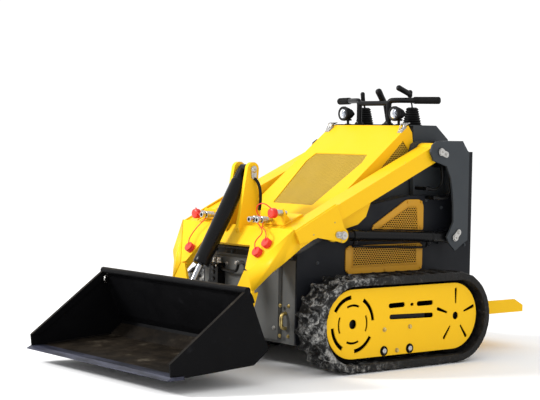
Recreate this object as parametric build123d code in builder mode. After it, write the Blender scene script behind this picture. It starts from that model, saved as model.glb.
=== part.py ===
"""Compact stand-on track loader, in millimetres.

Frame: +Z up from the ground, the bucket points to -Y, the machine's left side is +X.
The origin lies on the ground below the middle of the machine's bounding box.
Side outlines are tables of (y, z) corners, with y counted backwards from the front track wheel.
"""
from build123d import *
from math import atan2, cos, degrees, hypot, pi, radians, sin
import os

# ---------------------------------------------------------------- driving dimensions
FRONT_AXLE_Y = -161.5      # front track wheel, measured from the origin
SKIN = 6.0                 # sheet metal of covers and decks
SEAT = 0.3                 # gap between pieces that only rest on each other
PIN_GAP = 0.3              # radial clearance of a pin in its bore
RUN_GAP = 6.0              # clearance beside pieces that move past each other

# tracks
WHEELBASE = 633.0
TRACK_HEIGHT = 420.0
TRACK_WIDTH = 180.0
TRACK_GAP = 19.0           # between the body's side and the track
TRACK_BELT = 22.0          # rubber thickness below the lugs
LUG_HEIGHT = 20.0
LUG_LENGTH = 34.0
LUG_COUNT = 34
RIM_WIDTH = 26.0           # smooth outer rim of the belt
RIM_DROP = 4.0             # rim below the lugs' tops
COVER_RADIUS = 151.0
COVER_INSET = 27.0         # cover plate face, inwards of the track's outer face
COVER_THICKNESS = 5.0

# chassis
BODY_HALF_WIDTH = 335.0
BODY_BOTTOM_Z = 115.0
HULL_PLATE = 10.0
HULL_FRONT_Y = -175.0      # from the front axle
HULL_REAR_Y = 905.0
REAR_TOP_Z = 961.0
BEZEL_THICKNESS = 6.0
DOOR_HALF_WIDTH = 230.0    # raised plate on the front wall
DOOR_THICKNESS = 16.0
LOOP_X = 266.0             # tie-down loops
LOOP_ROD_R = 8.0
LOOP_REACH = 34.0

# boom
PIVOT = (603.0, 960.0)     # boom pivot
ARM_WIDTH = 100.0
ARM_PLATE = 12.0
PIVOT_PIN_R = 16.0
PIVOT_BOSS_R = 40.0
TOWER_PLATE = 10.0

# lift cylinders
LIFT_BASE = (706.0, 564.0)
LIFT_EYE = (18.0, 592.0)
LIFT_BARREL_R = 25.0
LIFT_ROD_R = 14.0
LIFT_PIN_R = 13.0
LIFT_EYE_R = 27.0
LIFT_EYE_WIDTH = 36.0
LIFT_BARREL_FRONT = 88.0   # from the rod's eye to the barrel's open end

# tilt cylinder
TILT_BASE = (-205.0, 870.0)
TILT_EYE = (-500.0, 355.0)
TILT_BARREL_R = 32.0
TILT_ROD_R = 14.0
TILT_PIN_R = 13.0
TILT_EYE_R = 22.0
TILT_EYE_WIDTH = 40.0
TILT_BARREL_FRONT = 112.0  # from the rod's eye to the barrel's open end
EAR_INNER_X = 38.0
EAR_THICKNESS = 20.0

# bucket and its coupler
BUCKET_PLATE = 8.0
BUCKET_PIN = (-405.0, 275.0)
BUCKET_PIN_R = 14.0
FOOT_BOSS_R = 28.0
FOOT_CHEEK = 14.0
CUTTING_EDGE_Y = -995.0
CUTTING_EDGE_DEPTH = 80.0
CUTTING_EDGE_THICKNESS = 14.0
CUTTING_EDGE_LIP = 6.0     # cutting edge beyond the bucket's sides

# hood
HOOD_SHEET = 3.0
HOOD_HINGE = (5.0, 655.0)

# platform
PLATFORM_HINGE = (930.0, 215.0)
PLATFORM_REAR_Y = 1324.0
PLATFORM_SHEET = 8.0
PLATFORM_BOTTOM_Z = 173.0
PLATFORM_TOP_Z = 237.0

# controls
CONSOLE_TOP_Z = 1082.0
BAR_RADIUS = 10.0
BAR_GRIP_R = 15.5
BAR_RISE = 116.0           # grips above the console
BAR_POST_X = 102.0
BAR_TIP = (348.0, 664.0)   # x and y of the grips' ends
BAR_POST_Y = 572.0

# ---------------------------------------------------------------- derived sizes
TRACK_INNER_X = BODY_HALF_WIDTH + TRACK_GAP
TRACK_OUTER_X = TRACK_INNER_X + TRACK_WIDTH
BUCKET_HALF_WIDTH = TRACK_OUTER_X
LIFT_X = BODY_HALF_WIDTH + 39
ARM_OUTER_X = BODY_HALF_WIDTH + 65
TOWER_OUTER_X = BODY_HALF_WIDTH + 85
FOOT_INNER_X = BODY_HALF_WIDTH - 160
FOOT_OUTER_X = BODY_HALF_WIDTH - 44
BAY_HALF_WIDTH = BODY_HALF_WIDTH - 73         # narrow upper body between the arms
HOOD_HALF_WIDTH = BAY_HALF_WIDTH + 5
CONSOLE_HALF_WIDTH = BAY_HALF_WIDTH
PLATFORM_HALF_WIDTH = BODY_HALF_WIDTH - 31
TRACK_R = TRACK_HEIGHT / 2
BELT_R = TRACK_R - LUG_HEIGHT
WHEEL_R = BELT_R - TRACK_BELT
COVER_X = TRACK_OUTER_X - COVER_INSET
ARM_INNER_X = ARM_OUTER_X - ARM_WIDTH
TOWER_INNER_X = ARM_INNER_X - RUN_GAP
TOP_SEAT = CONSOLE_TOP_Z + SEAT     # foot of what stands on the console
BAR_Z = CONSOLE_TOP_Z + BAR_RISE
RIM_R = TRACK_R - RIM_DROP

os.makedirs("parts", exist_ok=True)


# ---------------------------------------------------------------- helpers
def at(points):
    """Corners given from the front axle, as corners in the machine's frame."""
    return [(FRONT_AXLE_Y + y, z) for y, z in points]


def spot(point, x=0.0):
    """A (y, z) point given from the front axle, as a 3-D point at station x."""
    return Vector(x, FRONT_AXLE_Y + point[0], point[1])


def parallel(points, distance):
    """The open polyline moved sideways by distance, to the left of its direction, with mitred corners."""
    moved = []
    for i, (y, z) in enumerate(points):
        before = points[max(i - 1, 0)]
        after = points[min(i + 1, len(points) - 1)]
        turn_in = atan2(z - before[1], y - before[0]) if i else None
        turn_out = atan2(after[1] - z, after[0] - y) if i < len(points) - 1 else None
        turn_in = turn_out if turn_in is None else turn_in
        turn_out = turn_in if turn_out is None else turn_out
        middle = (turn_in + turn_out) / 2
        if abs(turn_out - turn_in) > pi:
            middle += pi
        reach = distance / cos((turn_out - turn_in) / 2) if abs(turn_out - turn_in) <= pi \
            else -distance / cos((turn_out - turn_in) / 2)
        moved.append((y - reach * sin(middle), z + reach * cos(middle)))
    return moved


def band(points, thickness):
    """Closed outline of a sheet of that thickness, lying to the left of an open polyline."""
    return points + parallel(points, thickness)[::-1]


def slab(points, x_start, x_end, mode=Mode.ADD):
    """A (y, z) outline from the front axle, extruded between two X stations."""
    with BuildSketch(Plane.YZ.offset(x_start)) as face:
        with BuildLine():
            Polyline(*at(points), close=True)
        make_face()
    extrude(to_extrude=face.sketch, amount=x_end - x_start, mode=mode)


def disc(point, radius, x_start, x_end, mode=Mode.ADD):
    """A round bar along X, centred on a (y, z) point from the front axle."""
    with BuildSketch(Plane.YZ.offset(x_start)) as face:
        with Locations(at([point])[0]):
            Circle(radius)
    extrude(to_extrude=face.sketch, amount=x_end - x_start, mode=mode)


def bar(start, end, radius, mode=Mode.ADD, sides=0):
    """A round bar between two 3-D points, or one with that many sides."""
    direction = end - start
    with BuildSketch(Plane(origin=start, z_dir=direction)) as face:
        if sides:
            RegularPolygon(radius, sides)
        else:
            Circle(radius)
    extrude(to_extrude=face.sketch, amount=direction.length, mode=mode)


def stacked(base, direction, sections, sides=16):
    """A turned shape of flat facets: sections are (distance along the direction, radius)."""
    faces = []
    for along, radius in sections:
        plane = Plane(origin=base + Vector(*direction) * along, x_dir=(1, 0, 0), z_dir=direction)
        with BuildSketch(plane) as outlines:
            RegularPolygon(radius, sides)
        faces.append(outlines.sketch.face())
    loft(faces, ruled=True)


def strap(start, end, radius, x_start, x_end, mode=Mode.ADD):
    """A flat link with round ends between two (y, z) points from the front axle."""
    length = hypot(end[0] - start[0], end[1] - start[1])
    turn = degrees(atan2(end[1] - start[1], end[0] - start[0]))
    middle = at([((start[0] + end[0]) / 2, (start[1] + end[1]) / 2)])[0]
    with BuildSketch(Plane.YZ.offset(x_start)) as face:
        with Locations(Location((*middle, 0), (0, 0, turn))):
            SlotCenterToCenter(length, 2 * radius)
    extrude(to_extrude=face.sketch, amount=x_end - x_start, mode=mode)


def box(x_span, y_span, z_span, mode=Mode.ADD):
    """A block between X, Y and Z stations, y counted from the front axle."""
    corners = [(y_span[0], z_span[0]), (y_span[1], z_span[0]), (y_span[1], z_span[1]), (y_span[0], z_span[1])]
    slab(corners, x_span[0], x_span[1], mode)


def rounded_slab(points, corners, x_start, x_end, mode=Mode.ADD):
    """A slab whose outline has the corners listed as (point, radius) rounded."""
    with BuildSketch(Plane.YZ.offset(x_start)) as face:
        with BuildLine():
            Polyline(*at(points), close=True)
        make_face()
        for point, radius in corners:
            fillet(face.vertices().sort_by_distance((*at([point])[0], 0))[0], radius)
    extrude(to_extrude=face.sketch, amount=x_end - x_start, mode=mode)


def hose(points, radius, bend):
    """A hose or pipe through 3-D points given as (x, y, z), y from the front axle, with round corners."""
    with BuildLine() as path:
        FilletPolyline(*[(x, FRONT_AXLE_Y + y, z) for x, y, z in points], radius=bend)
    with BuildSketch(Plane(origin=path.line @ 0, z_dir=path.line % 0)) as section:
        RegularPolygon(radius, 10)
    sweep(section.sketch, path=path.line)


def finish(piece, name):
    piece.part.label = name
    export_step(piece.part, f"parts/{name}.step")


def finish_pair(piece, name):
    """Write the left piece, and its mirror image as the right one."""
    finish(piece, f"{name}_left")
    with BuildPart() as other:
        mirror(piece.part, about=Plane.YZ)
    finish(other, f"{name}_right")


# ---------------------------------------------------------------- tracks
def track_outline_lugs(shift):
    """(y, z, angle) of each lug along the belt, started at a shift in pitches."""
    straight = WHEELBASE
    arc = pi * BELT_R
    pitch = 2 * (straight + arc) / LUG_COUNT
    places = []
    for i in range(LUG_COUNT):
        s = ((i + shift) * pitch) % (2 * (straight + arc))
        if s < straight:
            places.append((s, TRACK_R - BELT_R, 270.0))
        elif s < straight + arc:
            turn = (s - straight) / BELT_R
            places.append((straight + BELT_R * sin(turn), TRACK_R - BELT_R * cos(turn), 270 + degrees(turn)))
        elif s < 2 * straight + arc:
            places.append((2 * straight + arc - s, TRACK_R + BELT_R, 90.0))
        else:
            turn = (s - 2 * straight - arc) / BELT_R
            places.append((-BELT_R * sin(turn), TRACK_R + BELT_R * cos(turn), 90 + degrees(turn)))
    return places


with BuildPart() as track:
    lug_rows = [  # (inner x, outer x, shift in pitches)
        (TRACK_INNER_X, TRACK_INNER_X + 0.55 * TRACK_WIDTH, 0.25),
        (TRACK_OUTER_X - 0.55 * TRACK_WIDTH, TRACK_OUTER_X - RIM_WIDTH / 2, 0.75),
    ]
    middle = (FRONT_AXLE_Y + WHEELBASE / 2, TRACK_R)
    with BuildSketch(Plane.YZ.offset(TRACK_INNER_X)):
        with Locations(middle):
            SlotCenterToCenter(WHEELBASE, 2 * BELT_R)
            SlotCenterToCenter(WHEELBASE, 2 * WHEEL_R, mode=Mode.SUBTRACT)
    extrude(amount=TRACK_WIDTH)
    for x_start, width, radius in ((TRACK_OUTER_X - RIM_WIDTH, RIM_WIDTH - 7, RIM_R),
                                   (TRACK_OUTER_X - 7, 7, RIM_R - 5)):
        with BuildSketch(Plane.YZ.offset(x_start)) as rim:
            with Locations(middle):
                SlotCenterToCenter(WHEELBASE, 2 * radius)
                SlotCenterToCenter(WHEELBASE, 2 * (BELT_R - 2), mode=Mode.SUBTRACT)
        extrude(to_extrude=rim.sketch, amount=width)
    for x_start, x_end, shift in lug_rows:
        with BuildSketch(Plane.YZ.offset(x_start)) as lugs:
            for y, z, angle in track_outline_lugs(shift):
                with Locations(Location((FRONT_AXLE_Y + y, z, 0), (0, 0, angle))):
                    Polygon((-8, -LUG_LENGTH / 2), (LUG_HEIGHT, -LUG_LENGTH * 0.32),
                            (LUG_HEIGHT, LUG_LENGTH * 0.32), (-8, LUG_LENGTH / 2), align=None)
        extrude(to_extrude=lugs.sketch, amount=x_end - x_start)
finish_pair(track, "track")


# ---------------------------------------------------------------- track frames, wheels and covers
ROLLER_R = 44.0
ROLLER_YS = [share * WHEELBASE for share in (0.295, 0.543, 0.705)]   # two show hubs through the cover
ROLLER_Z = TRACK_R - WHEEL_R + ROLLER_R + SEAT
AXLE_R = 20.0
HUB_R = 15.0
WHEEL_X = (TRACK_INNER_X + 20, COVER_X - COVER_THICKNESS - 14)
BEAM_Z = (ROLLER_Z + ROLLER_R + 8, 262.0)
BEAM_Y = (WHEEL_R + 12, WHEELBASE - WHEEL_R - 12)
CHEEK = 10.0

with BuildPart() as track_frame:
    box((BODY_HALF_WIDTH, WHEEL_X[1]), BEAM_Y, BEAM_Z)
    for y in (0.0, WHEELBASE):
        disc((y, TRACK_R), AXLE_R, BODY_HALF_WIDTH, WHEEL_X[1] + 4)
    for y in ROLLER_YS:
        for x in (TRACK_INNER_X + 6, WHEEL_X[1] - CHEEK):
            box((x, x + CHEEK), (y - 20, y + 20), (ROLLER_Z - 20, BEAM_Z[0]))
        disc((y, ROLLER_Z), HUB_R - 4, TRACK_INNER_X + 6, WHEEL_X[1] + 3.7)
    for y in (WHEELBASE / 2 - 45, WHEELBASE / 2 + 75):    # studs that carry the cover
        disc((y, 200), 12, WHEEL_X[1] - CHEEK, COVER_X - COVER_THICKNESS)
finish_pair(track_frame, "track_frame")

with BuildPart() as track_wheels:
    for y in (0.0, WHEELBASE):
        disc((y, TRACK_R), WHEEL_R - SEAT, *WHEEL_X)
        disc((y, TRACK_R), WHEEL_R - 26, WHEEL_X[1] - 40, WHEEL_X[1], Mode.SUBTRACT)
        disc((y, TRACK_R), AXLE_R + 22, WHEEL_X[1] - 41, WHEEL_X[1])
        disc((y, TRACK_R), AXLE_R + PIN_GAP, *WHEEL_X, Mode.SUBTRACT)
    for y in ROLLER_YS:
        disc((y, ROLLER_Z), ROLLER_R, TRACK_INNER_X + 6 + CHEEK + 1, WHEEL_X[1] - CHEEK - 1)
        disc((y, ROLLER_Z), HUB_R - 4 + PIN_GAP, TRACK_INNER_X, WHEEL_X[1], Mode.SUBTRACT)
    for y in ROLLER_YS[:2]:
        disc((y, ROLLER_Z), HUB_R, WHEEL_X[1] + 4, COVER_X + 4)
finish_pair(track_wheels, "track_wheels")


def stadium(points, radius):
    """Sketch-face of a slot from one (y, z) point to another."""
    start, end = at(points)
    length = hypot(end[0] - start[0], end[1] - start[1])
    turn = degrees(atan2(end[1] - start[1], end[0] - start[0]))
    with Locations(Location(((start[0] + end[0]) / 2, (start[1] + end[1]) / 2, 0), (0, 0, turn))):
        SlotCenterToCenter(length, 2 * radius, mode=Mode.SUBTRACT)


def arc_slot(centre, radius, width, start, sweep):
    """Curved slot of that width about a centre, cut from the sketch."""
    middle = at([centre])[0]
    with BuildLine() as edge:
        outer = CenterArc(middle, radius + width / 2, start, sweep)
        inner = CenterArc(middle, radius - width / 2, start, sweep)
        Line(outer @ 0, inner @ 0)
        Line(outer @ 1, inner @ 1)
    make_face(edge.edges(), mode=Mode.SUBTRACT)


COVER_Z = TRACK_R + 5
COVER_FRONT = (0.0, COVER_Z)
COVER_REAR = (WHEELBASE - 15, COVER_Z)
STRETCH = WHEELBASE / 633               # straight slots follow the wheelbase
with BuildPart() as track_cover:
    with BuildSketch(Plane.YZ.offset(COVER_X - COVER_THICKNESS)):
        centre = at([((COVER_FRONT[0] + COVER_REAR[0]) / 2, COVER_Z)])[0]
        with Locations(centre):
            SlotCenterToCenter(COVER_REAR[0] - COVER_FRONT[0], 2 * COVER_RADIUS)
        with Locations(at([COVER_FRONT])[0]):
            Circle(21, mode=Mode.SUBTRACT)
        for start in (20, 110, 200, 290):
            arc_slot(COVER_FRONT, 118, 18, start, 50)
        for start in (65, 155, 245, 335):
            arc_slot(COVER_FRONT, 82, 10, start, 50)
        for y_start, y_end, z_start, z_end, half in (     # straight slots over the rollers
                (222.0, 300.0, 289.0, 287.0, 9.0), (395.0, 476.0, 284.0, 280.0, 9.0),
                (350.0, 358.0, 283.0, 283.0, 3.0), (230.0, 478.0, 236.0, 224.0, 9.0)):
            stadium([(y_start * STRETCH, z_start), (y_end * STRETCH, z_end)], half)
        for turn in (90, 18, -54, -126, 162):             # rear fan
            near = (COVER_REAR[0] + 62 * cos(radians(turn)), COVER_Z + 62 * sin(radians(turn)))
            far = (COVER_REAR[0] + 126 * cos(radians(turn)), COVER_Z + 126 * sin(radians(turn)))
            stadium([near, far], 6.5)
        with Locations(at([COVER_REAR])[0]):
            Circle(18, mode=Mode.SUBTRACT)
        for y in ROLLER_YS[:2]:
            with Locations(at([(y, ROLLER_Z)])[0]):
                Circle(HUB_R + 7, mode=Mode.SUBTRACT)
    extrude(amount=COVER_THICKNESS)
finish_pair(track_cover, "track_cover")

# ---------------------------------------------------------------- hull
WALL_X = BODY_HALF_WIDTH - HULL_PLATE
FLOOR_TOP_Z = BODY_BOTTOM_Z + 12
DECK_LINE = [(-165.0, 512.0), (-60.0, 556.0), (95.0, 618.0), (143.0, 625.0), (231.0, 717.0), (459.0, 752.0),
             (490.0, 757.0), (775.0, 757.0)]             # top of the wide lower body, front to rear
PANEL_LINE = [(HULL_FRONT_Y, 512.0)] + DECK_LINE + [(775.0, REAR_TOP_Z), (HULL_REAR_Y, REAR_TOP_Z)]
LOWER_SCREEN_Y = (102.0, 577.0)
LOWER_SCREEN_Z = (414.0, 539.0)
LOWER_MESH_Y = (150.0, 530.0)
LOWER_MESH_Z = (446.0, 512.0)
UPPER_SCREEN = [(238.0, 612.0), (470.0, 740.0), (579.0, 740.0), (579.0, 599.0)]
UPPER_MESH = [(343.0, 622.0), (485.0, 697.0), (528.0, 697.0), (530.0, 622.0)]
UPPER_CORNERS = [(UPPER_SCREEN[0], 10.0), (UPPER_SCREEN[1], 60.0), (UPPER_SCREEN[2], 40.0), (UPPER_SCREEN[3], 8.0)]
DOOR_TOP_Z = 470.0
DOOR_FACE_Y = HULL_FRONT_Y - DOOR_THICKNESS

with BuildPart() as hull:
    box((-WALL_X, WALL_X), (HULL_FRONT_Y, HULL_REAR_Y), (BODY_BOTTOM_Z, FLOOR_TOP_Z))
    box((-WALL_X, WALL_X), (HULL_FRONT_Y, HULL_FRONT_Y + HULL_PLATE), (BODY_BOTTOM_Z, 482))
    box((-DOOR_HALF_WIDTH, DOOR_HALF_WIDTH), (DOOR_FACE_Y, HULL_FRONT_Y), (BODY_BOTTOM_Z + 14, DOOR_TOP_Z))
    box((-WALL_X, WALL_X), (HULL_REAR_Y - HULL_PLATE, HULL_REAR_Y), (BODY_BOTTOM_Z, REAR_TOP_Z))
    for x in (-150.0, 150.0):                             # engine rails
        box((x - 20, x + 20), (120, 540), (FLOOR_TOP_Z, FLOOR_TOP_Z + 40))
    for x in (PLATFORM_HALF_WIDTH - PLATFORM_SHEET - 12, -PLATFORM_HALF_WIDTH + PLATFORM_SHEET + 2):
        lug = [(HULL_REAR_Y, 187), (PLATFORM_HINGE[0], 195), (PLATFORM_HINGE[0] + 16, 215),
               (PLATFORM_HINGE[0], 235), (HULL_REAR_Y, 250)]
        slab(lug, x, x + 10)
        disc(PLATFORM_HINGE, 8 + PIN_GAP, x, x + 10, Mode.SUBTRACT)
finish(hull, "hull")

with BuildPart() as front_beam:
    box((-WALL_X, WALL_X), (HULL_FRONT_Y, HULL_FRONT_Y + 70), (482, 512 - SKIN))
finish(front_beam, "front_beam")

with BuildPart() as tie_down_eyes:
    loop_start = HULL_FRONT_Y - SEAT
    for x in (-LOOP_X, LOOP_X):
        hose([(x, loop_start, 249), (x, loop_start - LOOP_REACH + LOOP_ROD_R, 249),
              (x, loop_start - LOOP_REACH + LOOP_ROD_R, 183), (x, loop_start, 183)], LOOP_ROD_R, 20)
finish(tie_down_eyes, "tie_down_eyes")

with BuildPart() as side_panel:
    outline = [(HULL_FRONT_Y, BODY_BOTTOM_Z)] + PANEL_LINE + [(HULL_REAR_Y, BODY_BOTTOM_Z)]
    slab(outline, WALL_X, BODY_HALF_WIDTH)
    box((WALL_X, BODY_HALF_WIDTH), LOWER_MESH_Y, LOWER_MESH_Z, Mode.SUBTRACT)
    slab(UPPER_MESH, WALL_X, BODY_HALF_WIDTH, Mode.SUBTRACT)
    slab([(LIFT_BASE[0] - 30, 530), (LIFT_BASE[0] + 34, 530), (LIFT_BASE[0] + 34, 600), (LIFT_BASE[0] - 30, 600)],
         BODY_HALF_WIDTH, BODY_HALF_WIDTH + 9)
    disc(LIFT_BASE, LIFT_PIN_R + PIN_GAP, WALL_X, BODY_HALF_WIDTH + 9, Mode.SUBTRACT)
finish_pair(side_panel, "side_panel")

with BuildPart() as side_screens:
    x_start, x_end = BODY_HALF_WIDTH, BODY_HALF_WIDTH + BEZEL_THICKNESS
    lower = [(y, z) for y in LOWER_SCREEN_Y for z in LOWER_SCREEN_Z]
    lower = [lower[0], lower[1], lower[3], lower[2]]
    rounded_slab(lower, [(corner, 26.0) for corner in lower], x_start, x_end)
    rounded_slab(UPPER_SCREEN, UPPER_CORNERS, x_start, x_end)
    box((x_start, x_end), LOWER_MESH_Y, LOWER_MESH_Z, Mode.SUBTRACT)
    slab(UPPER_MESH, x_start, x_end, Mode.SUBTRACT)
    box((x_start, x_start + 2), LOWER_MESH_Y, LOWER_MESH_Z)
    slab(UPPER_MESH, x_start, x_start + 2)
finish_pair(side_screens, "side_screens")

BAY_FRONT_Y = 14.0
BAY_FRONT_Z = 585.6
BAY_REAR_Y = 579.0
HOOD_SEAT_FRONT_Z = 654.0
HOOD_SEAT_REAR_Z = 925.0
with BuildPart() as upper_body:
    full = [(HULL_FRONT_Y, 512.0)] + DECK_LINE[:2] + [(BAY_FRONT_Y, BAY_FRONT_Z)]
    sides = [(BAY_FRONT_Y, BAY_FRONT_Z)] + DECK_LINE[2:]
    slab(band(full, -SKIN), -WALL_X, WALL_X)
    for x_start in (-WALL_X, BAY_HALF_WIDTH - SKIN):
        slab(band(sides + [(775 + SKIN, 757.0)], -SKIN), x_start, x_start + WALL_X - BAY_HALF_WIDTH + SKIN)
    bay_side = [(BAY_FRONT_Y, BAY_FRONT_Z - SKIN), (BAY_FRONT_Y, HOOD_SEAT_FRONT_Z), (BAY_REAR_Y, HOOD_SEAT_REAR_Z),
                (BAY_REAR_Y, REAR_TOP_Z), (HULL_REAR_Y - HULL_PLATE, REAR_TOP_Z),
                (HULL_REAR_Y - HULL_PLATE, 751.0), (490.0, 751.0), (459.0, 746.0), (231.0, 711.0),
                (143.0, 619.0), (95.0, 612.0)]
    for x_start in (-BAY_HALF_WIDTH, BAY_HALF_WIDTH - SKIN):
        slab(bay_side, x_start, x_start + SKIN)
    box((-BAY_HALF_WIDTH, BAY_HALF_WIDTH), (BAY_FRONT_Y, BAY_FRONT_Y + SKIN),
        (BAY_FRONT_Z - SKIN, HOOD_SEAT_FRONT_Z))
    box((-BAY_HALF_WIDTH, BAY_HALF_WIDTH), (BAY_REAR_Y, BAY_REAR_Y + SKIN), (FLOOR_TOP_Z, REAR_TOP_Z))
    box((-WALL_X, WALL_X), (775, HULL_REAR_Y - HULL_PLATE), (REAR_TOP_Z - SKIN, REAR_TOP_Z))
    box((-BAY_HALF_WIDTH, BAY_HALF_WIDTH), (BAY_REAR_Y, 776), (REAR_TOP_Z - SKIN, REAR_TOP_Z))
    for x_start in (-WALL_X, BAY_HALF_WIDTH - SKIN):      # front walls of the rear tank box
        box((x_start, x_start + WALL_X - BAY_HALF_WIDTH + SKIN), (775, 775 + SKIN), (757 - SKIN, REAR_TOP_Z))
    for side in (-1, 1):                                  # hood hinge: knuckles on the bay's front wall, with pins
        x_start, x_end = side * 200, side * 230
        slab([(HOOD_HINGE[0], HOOD_HINGE[1] + 6), (BAY_FRONT_Y, HOOD_HINGE[1] - 4),
              (BAY_FRONT_Y, HOOD_HINGE[1] - 22), (HOOD_HINGE[0] - 5, HOOD_HINGE[1] - 5)], x_start, x_end)
        disc(HOOD_HINGE, 7, x_start, x_end)
        disc(HOOD_HINGE, 3, side * 170, x_end)
finish(upper_body, "upper_body")

with BuildPart() as engine_block:
    box((-170, 170), (150, 520), (FLOOR_TOP_Z + 40, 640))
    fillet(engine_block.edges().filter_by(Axis.Y), 20)
finish(engine_block, "engine_block")

# ---------------------------------------------------------------- towers and their pins
TOWER_PLATE_LINE = [(540.0, 960.0), (551.0, 992.0), (577.0, 1008.0), (748.0, 1012.0), (783.0, 966.0), (793.0, 961.0),
                    (793.0, 550.0), (751.0, 528.0), (712.0, 502.0), (670.0, 540.0), (656.0, 568.0), (675.0, 596.0),
                    (697.0, 637.0), (694.0, 716.0), (686.0, 785.0), (674.0, 841.0), (646.0, 894.0), (560.0, 919.0)]
TOWER_WEB_Y = (783.0, 793.0)
INNER_PLATE = [(560.0, 757.0), (775.0, 757.0), (775.0, 976.0), (748.0, 1012.0), (577.0, 1008.0), (551.0, 992.0),
               (540.0, 960.0)]
TOWER_TOP = [(748.0, 1012.0), (775.0, 976.0), (775.0, 950.0), (770.0, 950.0), (770.0, 975.0), (745.0, 1005.0),
             (660.0, 1003.0), (660.0, 1010.0)]
with BuildPart() as tower:
    slab(TOWER_PLATE_LINE, TOWER_OUTER_X - TOWER_PLATE, TOWER_OUTER_X)
    slab(INNER_PLATE, HOOD_HALF_WIDTH + RUN_GAP, TOWER_INNER_X)
    box((BAY_HALF_WIDTH, HOOD_HALF_WIDTH + RUN_GAP), (BAY_REAR_Y + 10, 775), (757, 955))
    box((BODY_HALF_WIDTH, TOWER_OUTER_X - TOWER_PLATE), TOWER_WEB_Y, (550, 757))
    box((TOWER_INNER_X, TOWER_OUTER_X - TOWER_PLATE), (770, 775), (757, 961))
    slab(TOWER_TOP, TOWER_INNER_X, TOWER_OUTER_X - TOWER_PLATE)
    disc(PIVOT, PIVOT_PIN_R + PIN_GAP, HOOD_HALF_WIDTH + RUN_GAP, TOWER_OUTER_X, Mode.SUBTRACT)
    disc(LIFT_BASE, LIFT_PIN_R + PIN_GAP, BODY_HALF_WIDTH, TOWER_OUTER_X, Mode.SUBTRACT)
finish_pair(tower, "tower")

FLAG = 6.0                              # retainer plate of a pin
with BuildPart() as tower_pins:
    disc(PIVOT, PIVOT_PIN_R, HOOD_HALF_WIDTH + RUN_GAP + 1, TOWER_OUTER_X + FLAG + 6)
    disc(LIFT_BASE, LIFT_PIN_R, WALL_X, TOWER_OUTER_X + FLAG + 6)
    for pin, reach in ((PIVOT, (34, -12)), (LIFT_BASE, (24, 24))):
        tip = (pin[0] + reach[0], pin[1] + reach[1])
        strap(pin, tip, 14, TOWER_OUTER_X, TOWER_OUTER_X + FLAG)
finish_pair(tower_pins, "tower_pins")

# ---------------------------------------------------------------- boom
SLOPE = 0.436                           # rise of the arms' top edge per unit of length
ELBOW = (-251.0, 624.3)                 # top edge of the arch plate
KNEE = (-373.0, 441.0)                  # lower tips of the arch plate
TOE = (-384.0, 362.0)                   # where arm and foot meet at the bucket's rail
ARCH_OPENING = (170.0, 97.0)            # half width and depth below the elbow of the arch's top
KNEE_X = (217.0, 245.0)
arch_run = hypot(ELBOW[0] - KNEE[0], ELBOW[1] - KNEE[1])
arch_dir = ((KNEE[0] - ELBOW[0]) / arch_run, (KNEE[1] - ELBOW[1]) / arch_run)
arch_in = (-arch_dir[1], arch_dir[0])   # into the boom, square to the arch plate


def arch_point(s, depth=0.0):
    """(y, z) at distance s below the elbow along the arch plate, and depth behind its face."""
    return (ELBOW[0] + arch_dir[0] * s + arch_in[0] * depth, ELBOW[1] + arch_dir[1] * s + arch_in[1] * depth)


arch_face = Plane(origin=spot(ELBOW), x_dir=(1, 0, 0), z_dir=(0, arch_in[0], arch_in[1]))
CROSS_BEAM = [arch_point(0, ARM_PLATE), arch_point(ARCH_OPENING[1], ARM_PLATE), (-245.0, 528.0), (-160.0, 590.0),
              (-118.0, 640.0), (-118.0, ELBOW[1] + SLOPE * (ELBOW[0] * -1 - 118.0))]
EAR = [(-237.0, 870.0), (-284.0, 612.0), (-262.0, 560.0), (-163.0, 640.0), (-163.0, 700.0), (-180.0, 778.0),
       (-173.0, 870.0)]
with BuildPart() as boom_head:
    with BuildSketch(arch_face) as arch:
        with BuildLine():
            Polyline((-ARM_OUTER_X, 0), (ARM_OUTER_X, 0), (KNEE_X[1], arch_run), (KNEE_X[0], arch_run - 9),
                     ARCH_OPENING, (-ARCH_OPENING[0], ARCH_OPENING[1]),
                     (-KNEE_X[0], arch_run - 9), (-KNEE_X[1], arch_run), close=True)
        make_face()
    extrude(to_extrude=arch.sketch, amount=ARM_PLATE)
    slab(CROSS_BEAM, -ARM_INNER_X, ARM_INNER_X)
    for x_start in (-EAR_INNER_X - EAR_THICKNESS, EAR_INNER_X):
        slab(EAR, x_start, x_start + EAR_THICKNESS)
        disc(TILT_BASE, 32, x_start, x_start + EAR_THICKNESS)
    disc(TILT_BASE, TILT_PIN_R + PIN_GAP, -EAR_INNER_X - EAR_THICKNESS, EAR_INNER_X + EAR_THICKNESS, Mode.SUBTRACT)
finish(boom_head, "boom_head")

ARM_SIDE = [(603.0, 996.6), arch_point(0, ARM_PLATE), arch_point(40, ARM_PLATE), (-305.0, 483.0), (-216.0, 540.0),
            (27.0, 661.0), (603.0, 916.7)]
LEG_SIDE = [arch_point(ARCH_OPENING[1], ARM_PLATE), arch_point(arch_run, ARM_PLATE), KNEE, TOE, (-378.0, 366.0),
            (-331.0, 441.0), (-305.0, 483.0), (-245.0, 528.0)]
OUTER_GUSSET = [(-250.0, 615.0), (-15.0, 728.0), (35.0, 603.0), (45.0, 592.0), (18.0, 562.0), (-126.0, 586.0),
                (-182.0, 570.0), (-226.0, 565.0)]
INNER_GUSSET = [(-60.0, 622.0), (27.0, 668.0), (249.0, 766.0), (207.0, 668.0), (160.0, 634.0), (50.0, 608.0),
                (18.0, 562.0), (-60.0, 590.0)]
FOOT_PLATE = [KNEE, TOE, (-392.0, 318.0), (-380.0, 318.0), (-372.0, 362.0),
              arch_point(arch_run, ARM_PLATE)]
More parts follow.
